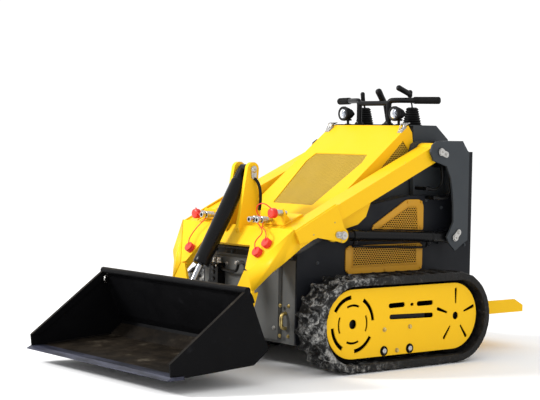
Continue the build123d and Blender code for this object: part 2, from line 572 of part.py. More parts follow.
FOOT_FRONT = [(KNEE_X[0], 441.0), (KNEE_X[1], 441.0), (FOOT_OUTER_X, 364.0), (FOOT_OUTER_X, 318.0),
              (FOOT_INNER_X, 318.0), (FOOT_INNER_X, 352.0)]


def side_cut(first, second, third, keep_towards):
    """Cut the part along the plane through three points, keeping the side of the fourth."""
    normal = (second - first).cross(third - first)
    if normal.dot(keep_towards - first) < 0:
        normal = -normal
    split(bisect_by=Plane(origin=first, z_dir=normal), keep=Keep.TOP)


with BuildPart() as foot:
    slab(FOOT_PLATE, FOOT_INNER_X, FOOT_OUTER_X)
    with BuildSketch(Plane.XZ) as front:
        with BuildLine():
            Polyline(*FOOT_FRONT, close=True)
        make_face()
    extrude(to_extrude=front.sketch, amount=2000, both=True, mode=Mode.INTERSECT)
    for x_start in (FOOT_INNER_X, FOOT_OUTER_X - FOOT_CHEEK):
        slab([(-386.0, 345.0), (-392.0, 318.0), (BUCKET_PIN[0] - FOOT_BOSS_R, BUCKET_PIN[1]),
              (BUCKET_PIN[0] + FOOT_BOSS_R, BUCKET_PIN[1]), (-352.0, 352.0)], x_start, x_start + FOOT_CHEEK)
        disc(BUCKET_PIN, FOOT_BOSS_R, x_start, x_start + FOOT_CHEEK)
    disc(BUCKET_PIN, BUCKET_PIN_R + PIN_GAP, FOOT_INNER_X, FOOT_OUTER_X, Mode.SUBTRACT)

with BuildPart() as arm:
    slab(LEG_SIDE, 120, ARM_OUTER_X)
    inside = spot((-340.0, 470.0), 250.0)
    side_cut(spot(ELBOW, ARM_OUTER_X), spot(KNEE, KNEE_X[1]), spot(TOE, FOOT_OUTER_X - 4), inside)
    low, high = arch_point(arch_run - 9), arch_point(ARCH_OPENING[1])
    side_cut(spot(low, KNEE_X[0]), spot(high, ARCH_OPENING[0]),
             spot(arch_point(arch_run - 9, 50), KNEE_X[0]), inside)
    add(foot.part)
    slab(ARM_SIDE, ARM_INNER_X, ARM_OUTER_X)
    disc(PIVOT, PIVOT_BOSS_R, ARM_INNER_X, ARM_OUTER_X)
    disc(PIVOT, PIVOT_PIN_R + PIN_GAP, ARM_INNER_X, ARM_OUTER_X, Mode.SUBTRACT)
    slab(OUTER_GUSSET, ARM_OUTER_X, ARM_OUTER_X + ARM_PLATE)
    disc(LIFT_EYE, 32, ARM_OUTER_X, ARM_OUTER_X + ARM_PLATE)
    slab(INNER_GUSSET, LIFT_X - LIFT_EYE_WIDTH / 2 - 3 - ARM_PLATE, LIFT_X - LIFT_EYE_WIDTH / 2 - 3)
    disc(LIFT_EYE, 32, LIFT_X - LIFT_EYE_WIDTH / 2 - 3 - ARM_PLATE, LIFT_X - LIFT_EYE_WIDTH / 2 - 3)
finish_pair(arm, "arm")

with BuildPart() as boom_pins:
    disc(TILT_BASE, TILT_PIN_R, -EAR_INNER_X - EAR_THICKNESS - 10, EAR_INNER_X + EAR_THICKNESS + 10)
    for side in (-1, 1):
        face_x = side * (EAR_INNER_X + EAR_THICKNESS)
        strap(TILT_BASE, (TILT_BASE[0] + 2, TILT_BASE[1] - 30), 14, face_x, face_x + side * FLAG)
        face_x = side * (ARM_OUTER_X + ARM_PLATE)
        strap(LIFT_EYE, (LIFT_EYE[0] - 30, LIFT_EYE[1] + 4), 14, face_x, face_x + side * FLAG)
        disc(LIFT_EYE, 16, face_x, face_x + side * (FLAG + 8))
        disc(BUCKET_PIN, BUCKET_PIN_R, side * (FOOT_INNER_X - 8), side * (FOOT_OUTER_X + 8))
finish(boom_pins, "boom_pins")

# ---------------------------------------------------------------- hydraulic cylinders

LIFT_TAIL = 70.0                        # rod's tail, from the base pin, with the boom as shown
TILT_TAIL = 125.0
BORE_START = 38.0                       # bore's blind end, from the base pin
PIPE_R = 5.0
PIPE_SPAN = (124.0, 580.0)              # hard line's ports, from the base pin
PIPE_DROP = 50.0                        # below the barrel's middle
PIPE_SHIFT = 14.0                       # towards the body

cylinders = [  # name, x, base pin, eye pin, barrel r, rod r, pin r, eye r, eye width, barrel front, rod tail
    ("lift", LIFT_X, LIFT_BASE, LIFT_EYE, LIFT_BARREL_R, LIFT_ROD_R, LIFT_PIN_R, LIFT_EYE_R, LIFT_EYE_WIDTH,
     LIFT_BARREL_FRONT, LIFT_TAIL),
    ("tilt", 0.0, TILT_BASE, TILT_EYE, TILT_BARREL_R, TILT_ROD_R, TILT_PIN_R, TILT_EYE_R, TILT_EYE_WIDTH,
     TILT_BARREL_FRONT, TILT_TAIL),
]
for name, x, base, eye, barrel_r, rod_r, pin_r, eye_r, width, front, tail in cylinders:
    start, end = spot(base, x), spot(eye, x)
    along = (end - start).normalized()
    with BuildPart() as barrel:
        disc(base, eye_r, x - width / 2, x + width / 2)
        bar(start + along * 12, end - along * front, barrel_r)
        bar(end - along * (front + 26), end - along * front, barrel_r + 1)
        bar(start + along * BORE_START, end - along * (front - 1), rod_r + PIN_GAP, Mode.SUBTRACT)
        box((x - width, x - width / 2), (base[0] - 40, base[0] + 40), (base[1] - 40, base[1] + 40), Mode.SUBTRACT)
        box((x + width / 2, x + width), (base[0] - 40, base[0] + 40), (base[1] - 40, base[1] + 40), Mode.SUBTRACT)
        disc(base, pin_r + PIN_GAP, x - width, x + width, Mode.SUBTRACT)
        if x:                                             # hard line to the front port
            down = Vector(0, -along.Z, along.Y) * (1 if along.Y < 0 else -1)
            rear, ahead = (start + along * s for s in PIPE_SPAN)
            corners = [point + Vector(dx, 0, 0) + down * drop for point, dx, drop in (
                (rear, 0, 20), (rear, -PIPE_SHIFT, PIPE_DROP), (ahead, -PIPE_SHIFT, PIPE_DROP), (ahead, 0, 20))]
            for first, second in zip(corners, corners[1:]):
                bar(first, second, PIPE_R)
    with BuildPart() as rod:
        disc(eye, eye_r, x - width / 2, x + width / 2)
        bar(start + along * tail, end, rod_r)
        disc(eye, pin_r, x - width / 2 - 2, x + width / 2 + 2)
    if x:
        finish_pair(barrel, f"{name}_barrel")
        finish_pair(rod, f"{name}_rod")
    else:
        finish(barrel, f"{name}_barrel")
        finish(rod, f"{name}_rod")

# ---------------------------------------------------------------- bucket and coupler
BUCKET_PATH = [(CUTTING_EDGE_Y + CUTTING_EDGE_DEPTH, 66.0), (-898.0, 66.0), (-563.0, 88.0), (-496.0, 138.0),
               (-486.0, 157.0), (-508.0, 188.0), (-585.0, 368.0), (-606.0, 395.0)]
EDGE_BACK_Y = CUTTING_EDGE_Y + CUTTING_EDGE_DEPTH
BUCKET_LIP = BUCKET_PATH[-1]
LIP_R = 15.0
BUCKET_SIDE = [(-981.0, 124.0), (-975.0, 66 + BUCKET_PLATE), (EDGE_BACK_Y, 66 + BUCKET_PLATE), (EDGE_BACK_Y, 66.0),
               (-898.0, 66.0), (-563.0, 88.0), (-496.0, 138.0), (-486.0, 157.0),
               (-508.0, 188.0), (-585.0, 368.0), (-606.0, 395.0)]
BACK_LOW = (-496.0, 160.5)              # straight back of the bucket, bottom and top
BACK_HIGH = (-585.0, 368.0)
back_run = hypot(BACK_LOW[0] - BACK_HIGH[0], BACK_LOW[1] - BACK_HIGH[1])
back_dir = ((BACK_LOW[0] - BACK_HIGH[0]) / back_run, (BACK_LOW[1] - BACK_HIGH[1]) / back_run)


def back_point(s, n):
    """(y, z) at distance s down the bucket's back and n behind it."""
    return (BACK_HIGH[0] + back_dir[0] * s - back_dir[1] * n, BACK_HIGH[1] + back_dir[1] * s + back_dir[0] * n)


with BuildPart() as bucket_shell:
    slab(band(BUCKET_PATH, BUCKET_PLATE), -BUCKET_HALF_WIDTH, BUCKET_HALF_WIDTH)
    for x_start in (-BUCKET_HALF_WIDTH, BUCKET_HALF_WIDTH - BUCKET_PLATE):
        slab(BUCKET_SIDE, x_start, x_start + BUCKET_PLATE)
    slab(band([back_point(30, 0), BACK_HIGH, BUCKET_LIP], -10), -BUCKET_HALF_WIDTH, BUCKET_HALF_WIDTH)
    disc((BUCKET_LIP[0] + 4, BUCKET_LIP[1] - 2), LIP_R, -BUCKET_HALF_WIDTH, BUCKET_HALF_WIDTH)
    strip = [BUCKET_SIDE[0], (BUCKET_SIDE[0][0] + 44, BUCKET_SIDE[0][1]), (BUCKET_LIP[0] + 4, BUCKET_LIP[1] - 38), BUCKET_LIP]
    for x_start in (-BUCKET_HALF_WIDTH + BUCKET_PLATE, BUCKET_HALF_WIDTH - 2 * BUCKET_PLATE):
        slab(strip, x_start, x_start + BUCKET_PLATE)      # stiffeners inside the sides' front edges
finish(bucket_shell, "bucket_shell")

with BuildPart() as cutting_edge:
    slab([(CUTTING_EDGE_Y, 60.0), (CUTTING_EDGE_Y, 63.0), (CUTTING_EDGE_Y + 22, 60 + CUTTING_EDGE_THICKNESS),
          (EDGE_BACK_Y, 66 + BUCKET_PLATE), (EDGE_BACK_Y, 66.0), (EDGE_BACK_Y, 60.0)],
         -BUCKET_HALF_WIDTH - CUTTING_EDGE_LIP, BUCKET_HALF_WIDTH + CUTTING_EDGE_LIP)
finish(cutting_edge, "cutting_edge")

COUPLER_HALF_WIDTH = 295.0
COUPLER_PLATE = 12.0
COUPLER_SPAN = (34.0, 190.0)            # along the bucket's back
with BuildPart() as coupler:
    top, low = COUPLER_SPAN
    slab([back_point(top, SEAT), back_point(low, SEAT), back_point(low - 6, SEAT + COUPLER_PLATE),
          back_point(top + 6, SEAT + COUPLER_PLATE)], -COUPLER_HALF_WIDTH, COUPLER_HALF_WIDTH)
    lug_face = SEAT + COUPLER_PLATE
    for side in (-1, 1):
        lug_x = [side * (FOOT_INNER_X + FOOT_CHEEK + RUN_GAP), side * (FOOT_OUTER_X - FOOT_CHEEK - RUN_GAP)]
        low_x, high_x = min(lug_x), max(lug_x)
        for x_start in (low_x, high_x - 16):
            slab([back_point(110, lug_face), back_point(186, lug_face),
                  (BUCKET_PIN[0] - 6, BUCKET_PIN[1] - 26), (BUCKET_PIN[0] - 12, BUCKET_PIN[1] + 23)],
                 x_start, x_start + 16)
            disc(BUCKET_PIN, FOOT_BOSS_R - 2, x_start, x_start + 16)
        disc(BUCKET_PIN, FOOT_BOSS_R - 6, low_x, high_x)
        disc(BUCKET_PIN, BUCKET_PIN_R + PIN_GAP, low_x, high_x, Mode.SUBTRACT)
        tilt_x = TILT_EYE_WIDTH / 2 + 3.0
        x_start = tilt_x if side > 0 else -tilt_x - 14
        slab([back_point(top + 4, lug_face), back_point(top + 96, lug_face), (TILT_EYE[0] + 6, TILT_EYE[1] - 24),
              (TILT_EYE[0] - 4, TILT_EYE[1] + 24)], x_start, x_start + 14)
        disc(TILT_EYE, TILT_EYE_R + 3, x_start, x_start + 14)
        face_x = side * (tilt_x + 14)
        disc(TILT_EYE, TILT_PIN_R, face_x, face_x + side * 10)
finish(coupler, "coupler")

# ---------------------------------------------------------------- hood
HOOD_CREST_Z = CONSOLE_TOP_Z - 3
HOOD_LINE = [(10.0, 662.0), (543.0, HOOD_CREST_Z), (567.0, HOOD_CREST_Z - 32), (BAY_REAR_Y, HOOD_CREST_Z - 111),
             (BAY_REAR_Y, 927.0)]
HOOD_SIDE_MESH = [(510.0, HOOD_CREST_Z - 70), (556.0, HOOD_CREST_Z - 122), (546.0, HOOD_CREST_Z - 136),
                  (356.0, HOOD_CREST_Z - 212)]
hood_run = hypot(HOOD_LINE[1][0] - HOOD_LINE[0][0], HOOD_LINE[1][1] - HOOD_LINE[0][1])
hood_dir = ((HOOD_LINE[1][0] - HOOD_LINE[0][0]) / hood_run, (HOOD_LINE[1][1] - HOOD_LINE[0][1]) / hood_run)
hood_face = Plane(origin=spot(HOOD_LINE[0]), x_dir=(1, 0, 0), z_dir=(0, -hood_dir[1], hood_dir[0]))
GRILLE_CORNERS = [(-140.0, 80.0), (140.0, 80.0), (196.0, 394.0), (180.0, 456.0), (-180.0, 456.0), (-196.0, 394.0)]
GRILLE_MIDDLE = 268.0                   # up the slope from the hood's front edge

with BuildPart() as hood:
    slab(band(HOOD_LINE[:3], -HOOD_SHEET), -HOOD_HALF_WIDTH, HOOD_HALF_WIDTH)
    for x_start in (-HOOD_HALF_WIDTH, HOOD_HALF_WIDTH - HOOD_SHEET):
        slab(HOOD_LINE, x_start, x_start + HOOD_SHEET)
    slab(HOOD_SIDE_MESH, -HOOD_HALF_WIDTH, HOOD_HALF_WIDTH, Mode.SUBTRACT)
    with BuildSketch(hood_face) as opening:
        Polygon(*GRILLE_CORNERS, align=None)
        fillet(opening.vertices(), 14)
    extrude(to_extrude=opening.sketch, amount=30, both=True, mode=Mode.SUBTRACT)
    for side in (-1, 1):                                  # hinge knuckles
        x_start, x_end = side * 170, side * (200 - SEAT)
        slab([(HOOD_LINE[0][0] + 6, HOOD_LINE[0][1] + 4.7), HOOD_LINE[0], (HOOD_HINGE[0], HOOD_HINGE[1] - 5),
              (HOOD_HINGE[0], HOOD_HINGE[1] + 6)], x_start, x_end)
        disc(HOOD_HINGE, 7, x_start, x_end)
        disc(HOOD_HINGE, 3 + PIN_GAP, x_start, x_end, Mode.SUBTRACT)
finish(hood, "hood")

with BuildPart() as hood_grilles:
    with BuildSketch(hood_face.offset(-HOOD_SHEET - SEAT)) as sheet:
        Polygon(*[(x * 1.05, GRILLE_MIDDLE + (s - GRILLE_MIDDLE) * 1.05) for x, s in GRILLE_CORNERS], align=None)
    extrude(to_extrude=sheet.sketch, amount=-2)
    for side in (-1, 1):
        x_face = side * (HOOD_HALF_WIDTH - HOOD_SHEET - SEAT)
        slab([(512.0, HOOD_CREST_Z - 62), (566.0, HOOD_CREST_Z - 120), (549.0, HOOD_CREST_Z - 145),
              (338.0, HOOD_CREST_Z - 226)], x_face, x_face - side * 2)
finish(hood_grilles, "hood_grilles")

with BuildPart() as hood_latches:
    foot_y = 506.0
    foot_z = HOOD_LINE[0][1] + (foot_y - HOOD_LINE[0][0]) * hood_dir[1] / hood_dir[0]
    latch = [(foot_y, foot_z + SEAT), (543.0, HOOD_CREST_Z + SEAT), (556.0, TOP_SEAT), (562.0, TOP_SEAT),
             (562.0, TOP_SEAT + 7), (540.0, TOP_SEAT + 5), (foot_y - 3, foot_z + 8)]
    for side in (-1, 1):
        x = side * (HOOD_HALF_WIDTH - 14)
        slab(latch, x - 8, x + 8)
finish(hood_latches, "hood_latches")

# ---------------------------------------------------------------- console and controls
CONSOLE_LIP_Y = 558.0                   # front edge of the top, clear of the opening hood
CONSOLE = [(BAY_REAR_Y + 1, REAR_TOP_Z), (BAY_REAR_Y + 1, CONSOLE_TOP_Z), (730.0, CONSOLE_TOP_Z),
           (810.0, CONSOLE_TOP_Z - 64), (830.0, REAR_TOP_Z)]
with BuildPart() as console:
    slab(CONSOLE, -CONSOLE_HALF_WIDTH, CONSOLE_HALF_WIDTH)
    box((-CONSOLE_HALF_WIDTH, CONSOLE_HALF_WIDTH), (CONSOLE_LIP_Y, BAY_REAR_Y + 1), (CONSOLE_TOP_Z - 4, CONSOLE_TOP_Z))
finish(console, "console")

with BuildPart() as handlebar:
    for side in (-1, 1):
        post = (side * BAR_POST_X, BAR_POST_Y)
        tip = (side * BAR_TIP[0], BAR_TIP[1])
        half = ((post[0] + tip[0]) / 2, (post[1] + tip[1]) / 2)
        hose([(*post, TOP_SEAT), (*post, BAR_Z), (*half, BAR_Z)], BAR_RADIUS, 34)
        bar(spot((half[1], BAR_Z), half[0]), spot((tip[1], BAR_Z), tip[0]), BAR_GRIP_R)
        bar(spot((post[1], TOP_SEAT), post[0]), spot((post[1], TOP_SEAT + 6), post[0]), 22)
    bar(spot((BAR_POST_Y, BAR_Z - 12), -BAR_POST_X), spot((BAR_POST_Y, BAR_Z - 12), BAR_POST_X), BAR_RADIUS)
finish(handlebar, "handlebar")

LEVER_Y = 665.0
LEVER_XS = [-165.0, 0.0, 165.0]
BOOT_HEIGHT = 84.0
BOOT_TOP_Z = TOP_SEAT + BOOT_HEIGHT
BOOT_RADII = (46.0, 27.0)
BOOT_FOLDS = 4
boot_sections = []                      # (height, radius), fold by fold
for i in range(2 * BOOT_FOLDS + 1):
    share = i / (2 * BOOT_FOLDS)
    radius = BOOT_RADII[0] + (BOOT_RADII[1] - BOOT_RADII[0]) * share - 5 * (i % 2)
    boot_sections.append((BOOT_HEIGHT * share, radius))
with BuildPart() as lever_boots:
    for x in (LEVER_XS[0], LEVER_XS[2]):
        stacked(spot((LEVER_Y, TOP_SEAT), x), (0, 0, 1), boot_sections)
finish(lever_boots, "lever_boots")

lever_bars = [  # lever, start (y, height over the console), end (y, height), radius
    (0, (LEVER_Y, BOOT_HEIGHT + SEAT), (653.0, 116.0), 5.0),
    (0, (654.0, 112.0), (648.0, 158.0), 9.5),
    (1, (LEVER_Y, 0.0), (640.0, 106.0), 8.0),
    (1, (641.0, 102.0), (593.0, 168.0), 14.5),
    (2, (LEVER_Y, BOOT_HEIGHT + SEAT), (648.0, 152.0), 4.0),
    (2, (648.0, 140.0), (648.0, 162.0), 9.0),
    (2, (645.0, 147.0), (566.0, 176.0), 12.0),
]
with BuildPart() as levers:
    for lever, low, high, radius in lever_bars:
        x = LEVER_XS[lever]
        bar(spot((low[0], TOP_SEAT + low[1]), x), spot((high[0], TOP_SEAT + high[1]), x), radius)
    for x, foot in ((LEVER_XS[0], BOOT_HEIGHT + SEAT), (LEVER_XS[1], 0.0), (LEVER_XS[2], BOOT_HEIGHT + SEAT)):
        box((x - 20, x + 20), (LEVER_Y - 20, LEVER_Y + 20), (TOP_SEAT + foot - 20, TOP_SEAT + foot), Mode.SUBTRACT)
finish(levers, "levers")

LAMP_X = 177.0
LAMP_FACE_Y = 531.0
LAMP_Z = TOP_SEAT + 54
LENS_R = 26.0
LENS_DEPTH = 10.0
LAMP_PROFILE = [(0.0, 31.0), (12.0, 33.0), (28.0, 31.5), (46.0, 23.0), (62.0, 13.0), (72.0, 8.0)]   # (depth, radius)
with BuildPart() as lamps:
    for side in (-1, 1):
        x = side * LAMP_X
        stacked(spot((LAMP_FACE_Y, LAMP_Z), x), (0, 1, 0), LAMP_PROFILE, 20)
        bar(spot((LAMP_FACE_Y, LAMP_Z), x), spot((LAMP_FACE_Y + LENS_DEPTH, LAMP_Z), x), LENS_R + SEAT, Mode.SUBTRACT)
        bar(spot((LAMP_FACE_Y + 36, TOP_SEAT), x), spot((LAMP_FACE_Y + 36, LAMP_Z - 20), x), 7)
finish(lamps, "lamps")

with BuildPart() as lamp_lenses:
    for side in (-1, 1):
        x = side * LAMP_X
        bar(spot((LAMP_FACE_Y, LAMP_Z), x), spot((LAMP_FACE_Y + LENS_DEPTH - SEAT, LAMP_Z), x), LENS_R)
finish(lamp_lenses, "lamp_lenses")

# ---------------------------------------------------------------- hoses and quick couplers
HOSE_R = 7.0
tower_hose_runs = [  # x, upper end, corner, lower end, x of the wall behind each end
    (LIFT_X + 6, (694.0, 893.0), (712.0, 748.0), (602.0, 748.0), TOWER_INNER_X, BODY_HALF_WIDTH),
    (LIFT_X - 16, (676.0, 898.0), (680.0, 790.0), (574.0, 790.0), TOWER_INNER_X, TOWER_INNER_X),
]
with BuildPart() as hydraulic_lines:
    for side in (-1, 1):
        for x, top, corner, low, wall_top, wall_low in tower_hose_runs:
            hose([(side * x, *top), (side * x, *corner), (side * x, *low)], HOSE_R, 70)
            for end, wall in ((top, wall_top), (low, wall_low)):          # elbow fitting to the wall
                bar(spot(end, side * (wall + SEAT)), spot(end, side * (x + HOSE_R + 3)), HOSE_R + 2,
                    sides=8)
    box((-218, -150), (DOOR_FACE_Y - 44, DOOR_FACE_Y - SEAT), (318, 438))    # hydraulic block on the front wall
    for x, z in ((-200, 438), (-168, 438)):
        bar(spot((DOOR_FACE_Y - 22, z - 2), x), spot((DOOR_FACE_Y - 22, z + 22), x), 12, sides=8)
    hose([(-168, DOOR_FACE_Y - 22, 452), (-120, DOOR_FACE_Y - 26, 412), (-30, DOOR_FACE_Y - 26, 412),
          (-22, DOOR_FACE_Y - 26, 452)], HOSE_R, 30)
    bar(spot((DOOR_FACE_Y - SEAT, 450), -22), spot((DOOR_FACE_Y - 34, 450), -22), HOSE_R + 3, sides=8)
finish(hydraulic_lines, "hydraulic_lines")

COUPLER_R = 14.0
CAP_R = 22.0
CAP_DEPTH = 24.0
BRACKET_Y = (-216.0, -208.0)
quick_couplers = [  # x, z, front end y, rear end y, has its cap on
    (152.0, 656.0, -300.0, -200.0, False),
    (206.0, 656.0, -300.0, -200.0, False),
    (272.0, 688.0, -276.0, -190.0, True),
    (-200.0, 658.0, -296.0, -200.0, False),
    (-272.0, 658.0, -282.0, -200.0, True),
]
hanging_caps = [(286.0, 84.0), (256.0, 132.0), (-222.0, 146.0)]     # x, and distance down the arch plate
with BuildPart() as couplers:
    for low_x, high_x, top_z in ((128.0, 292.0, 706.0), (-292.0, -180.0, 682.0)):
        beam_top = (CROSS_BEAM[0], CROSS_BEAM[-1])
        rise = (beam_top[1][1] - beam_top[0][1]) / (beam_top[1][0] - beam_top[0][0])
        feet = [(y, beam_top[0][1] + rise * (y - beam_top[0][0]) + SEAT) for y in BRACKET_Y]
        slab([*feet, (BRACKET_Y[1], top_z), (BRACKET_Y[0], top_z)], low_x, high_x)
    for x, z, front, rear, capped in quick_couplers:
        bar(spot((front, z), x), spot((rear, z), x), COUPLER_R - 3, sides=12)
        bar(spot((front + 24, z), x), spot((front + 52, z), x), COUPLER_R, sides=6)
        if capped:
            bar(spot((front, z), x), spot((front + CAP_DEPTH, z), x), CAP_R, sides=16)
    for x, down in hanging_caps:
        bar(spot(arch_point(down, -SEAT), x), spot(arch_point(down, -SEAT - CAP_DEPTH), x), CAP_R, sides=16)
finish(couplers, "quick_couplers")

# ---------------------------------------------------------------- platform
with BuildPart() as platform:
    box((-PLATFORM_HALF_WIDTH, PLATFORM_HALF_WIDTH), (HULL_REAR_Y + SEAT, PLATFORM_REAR_Y),
        (PLATFORM_BOTTOM_Z, PLATFORM_BOTTOM_Z + PLATFORM_SHEET))
    flange = [(PLATFORM_HINGE[0] - 22, PLATFORM_BOTTOM_Z), (PLATFORM_REAR_Y, PLATFORM_BOTTOM_Z), (PLATFORM_REAR_Y, 205.0),
              (1263.0, PLATFORM_TOP_Z), (PLATFORM_HINGE[0], PLATFORM_TOP_Z), (PLATFORM_HINGE[0] - 18, 220.0)]
    for x_start in (-PLATFORM_HALF_WIDTH, PLATFORM_HALF_WIDTH - PLATFORM_SHEET):
        slab(flange, x_start, x_start + PLATFORM_SHEET)
        disc(PLATFORM_HINGE, 8 + PIN_GAP, x_start, x_start + PLATFORM_SHEET, Mode.SUBTRACT)
finish(platform, "platform")
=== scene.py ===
"""Finishes the compact track loader: paint, screens, hoses, couplers, fittings, lamps and the studio around it."""
from math import cos, pi, radians, sin

import bmesh
import bpy
from bpy.props import FloatProperty, FloatVectorProperty, IntProperty, PointerProperty
from mathutils import Matrix, Vector, noise as ripple


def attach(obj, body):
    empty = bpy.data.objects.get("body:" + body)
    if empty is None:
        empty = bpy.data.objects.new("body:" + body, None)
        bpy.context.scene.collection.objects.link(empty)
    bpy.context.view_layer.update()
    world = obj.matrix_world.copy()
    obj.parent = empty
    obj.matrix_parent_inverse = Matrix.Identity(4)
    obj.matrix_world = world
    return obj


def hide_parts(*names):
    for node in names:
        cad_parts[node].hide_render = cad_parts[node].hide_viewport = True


bl_info = {
    "name": "Track Loader Dresser",
    "version": (1, 0, 0),
    "blender": (4, 5, 0),
    "location": "View3D > Sidebar > Loader",
    "description": "Dresses a packed compact track loader and sets up its studio",
    "category": "Object",
}

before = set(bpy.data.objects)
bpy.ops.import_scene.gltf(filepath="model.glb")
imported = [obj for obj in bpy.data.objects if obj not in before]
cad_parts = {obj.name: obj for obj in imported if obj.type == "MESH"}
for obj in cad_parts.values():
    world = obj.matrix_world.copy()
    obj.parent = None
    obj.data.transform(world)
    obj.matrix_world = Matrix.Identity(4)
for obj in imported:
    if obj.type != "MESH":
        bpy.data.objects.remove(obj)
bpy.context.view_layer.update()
MM = 0.001
FRONT_AXLE = Vector((0.0, -0.1615, 0.0))       # side stations are counted backwards from here
SIDES = (-1, 1)
HANDS = (("left", 1), ("right", -1))

# ---------------- places shared by several pieces, in millimetres
LIFT_X = 374                                    # middle of a lift cylinder
LIFT_BASE, LIFT_EYE = (706, 564), (18, 592)     # pins of the cylinders, (y, z)
TILT_BASE, TILT_EYE = (-205, 870), (-500, 355)
PANEL_FACE, TOWER_FACE = 335, 294               # x of the side panels and of the towers' inner plates
WALL_FACE, PLATE_FACE = -175, -191              # y of the front wall and of its raised plate
REAR_FACE = 905                                 # y of the back
DECK = 181                                      # top of the platform
ROLLER_HUBS = ((186.7, 86.3), (343.7, 86.3))
COVER_CENTRES = ((0.0, 215.0), (618.0, 215.0))  # ends of the cover's outline, (y, z)
COVER_FACE = 507.0
FAN_CENTRE = (633.0, 215.0)                     # middle of the cover's rear slots


# ---------------- sizes and colours
COLOUR = {"subtype": "COLOR", "size": 3, "min": 0, "max": 1}


class LoaderPaint(bpy.types.PropertyGroup):
    """Colours of the paint and of the red plastic"""
    yellow: FloatVectorProperty(name="Yellow", description="Hood, boom, covers and platform",
                                default=(0.88, 0.515, 0.012), **COLOUR)
    tower_grey: FloatVectorProperty(name="Tower grey", description="Towers, console and body behind the hood",
                                    default=(0.037, 0.043, 0.049), **COLOUR)
    # Darker than the tower grey: painted shade of the arms and towers on the side panels.
    side_grey: FloatVectorProperty(name="Side grey", description="Side panels", default=(0.007, 0.008, 0.011),
                                   **COLOUR)
    # Lighter than the tower grey: painted light on the front wall, which faces the key light.
    front_grey: FloatVectorProperty(name="Front grey", description="Front wall and its raised plate",
                                    default=(0.095, 0.096, 0.092), **COLOUR)
    black: FloatVectorProperty(name="Black", description="Bucket, cylinders and handlebar",
                               default=(0.0035, 0.0035, 0.004), **COLOUR)
    ochre: FloatVectorProperty(name="Ochre", description="Screens in the side panels", default=(0.55, 0.27, 0.012),
                               **COLOUR)
    red: FloatVectorProperty(name="Red", description="Dust caps, their straps and the stop button",
                             default=(0.72, 0.028, 0.012), **COLOUR)
    peel: FloatProperty(name="Orange peel", description="Depth of the ripple in the powder coat",
                        default=0.0002, min=0, max=0.002, unit="LENGTH", precision=5)


class LoaderStage(bpy.types.PropertyGroup):
    """Camera and lights"""
    place: FloatVectorProperty(name="Camera", description="Where the camera stands", subtype="TRANSLATION",
                               size=3, default=(5.2744, -4.5267, 1.0176))
    turn: FloatProperty(name="Turn", description="How far the view is turned from straight ahead",
                        default=radians(50.77), subtype="ANGLE")
    dip: FloatProperty(name="Dip", description="How far the view looks down", default=radians(2.42), subtype="ANGLE")
    roll: FloatProperty(name="Roll", description="Tilt of the horizon", default=radians(1.03), subtype="ANGLE")
    lens: FloatProperty(name="Lens", description="Focal length in millimetres on a 36 mm sensor", default=100.39,
                        min=10, max=400)
    key: FloatProperty(name="Key light", description="Power of the square light high in front, in watts",
                       default=560, min=0, max=5000)
    sky: FloatProperty(name="Sky", description="Strength of the white surroundings", default=1.07, min=0, max=5)


class LoaderFittings(bpy.types.PropertyGroup):
    """Sizes of the small fittings"""
    hole_pitch: FloatVectorProperty(name="Grille pitch", description="Spacing of the hood grille's holes, in mm",
                                    size=2, default=(8.5, 7.4), min=4, max=30)
    screen_pitch: FloatVectorProperty(name="Screen pitch", description="Spacing of the side screens' holes, in mm",
                                      size=2, default=(14.5, 8.6), min=4, max=30)
    bolt: FloatProperty(name="Bolt", description="Bolt head over its corners, in mm", default=17, min=6, max=40)
    folds: IntProperty(name="Folds", description="Folds of a lever's boot", default=7, min=2, max=12)
    tread_wear: FloatProperty(name="Tread wear", description="How deep the rubber is torn and packed with earth",
                              default=0.013, min=0, max=0.025, unit="LENGTH", precision=4)


# ---------------- materials
def material(name, colour, roughness=0.5, metallic=0.0, specular=0.5):
    """A principled material, with its node tree and shader."""
    made = bpy.data.materials.new(name)
    made.use_nodes = True
    tree = made.node_tree
    shader = tree.nodes["Principled BSDF"]
    shader.inputs["Base Color"].default_value = (*colour, 1)
    shader.inputs["Roughness"].default_value = roughness
    shader.inputs["Metallic"].default_value = metallic
    shader.inputs["Specular IOR Level"].default_value = specular
    made.diffuse_color = (*colour, 1)
    return made, tree, shader


def noise(tree, scale, detail=2.0, rough=0.5, stretch=(1, 1, 1)):
    """A noise texture in object space."""
    where = tree.nodes.new("ShaderNodeTexCoord")
    mapping = tree.nodes.new("ShaderNodeMapping")
    mapping.inputs["Scale"].default_value = stretch
    texture = tree.nodes.new("ShaderNodeTexNoise")
    texture.inputs["Scale"].default_value = scale
    texture.inputs["Detail"].default_value = detail
    texture.inputs["Roughness"].default_value = rough
    tree.links.new(where.outputs["Object"], mapping.inputs["Vector"])
    tree.links.new(mapping.outputs["Vector"], texture.inputs["Vector"])
    return texture.outputs["Fac"]


def ramp(tree, source, stops):
    """A colour ramp over a value; a stop's colour may be one number for a grey."""
    node = tree.nodes.new("ShaderNodeValToRGB")
    band = node.color_ramp
    while len(band.elements) < len(stops):
        band.elements.new(0.5)
    for element, (place, colour) in zip(band.elements, stops):
        element.position = place
        element.color = (*colour, 1) if isinstance(colour, tuple) else (colour, colour, colour, 1)
    tree.links.new(source, node.inputs["Fac"])
    return node.outputs["Color"]


def bump(tree, shader, height, distance, strength=1.0, edge=0.0):
    """Bump the surface, over edges rounded by a small radius."""
    node = tree.nodes.new("ShaderNodeBump")
    node.inputs["Strength"].default_value = strength
    node.inputs["Distance"].default_value = distance
    tree.links.new(height, node.inputs["Height"])
    if edge:
        bevel = tree.nodes.new("ShaderNodeBevel")
        bevel.samples = 4
        bevel.inputs["Radius"].default_value = edge
        tree.links.new(bevel.outputs["Normal"], node.inputs["Normal"])
    tree.links.new(node.outputs["Normal"], shader.inputs["Normal"])


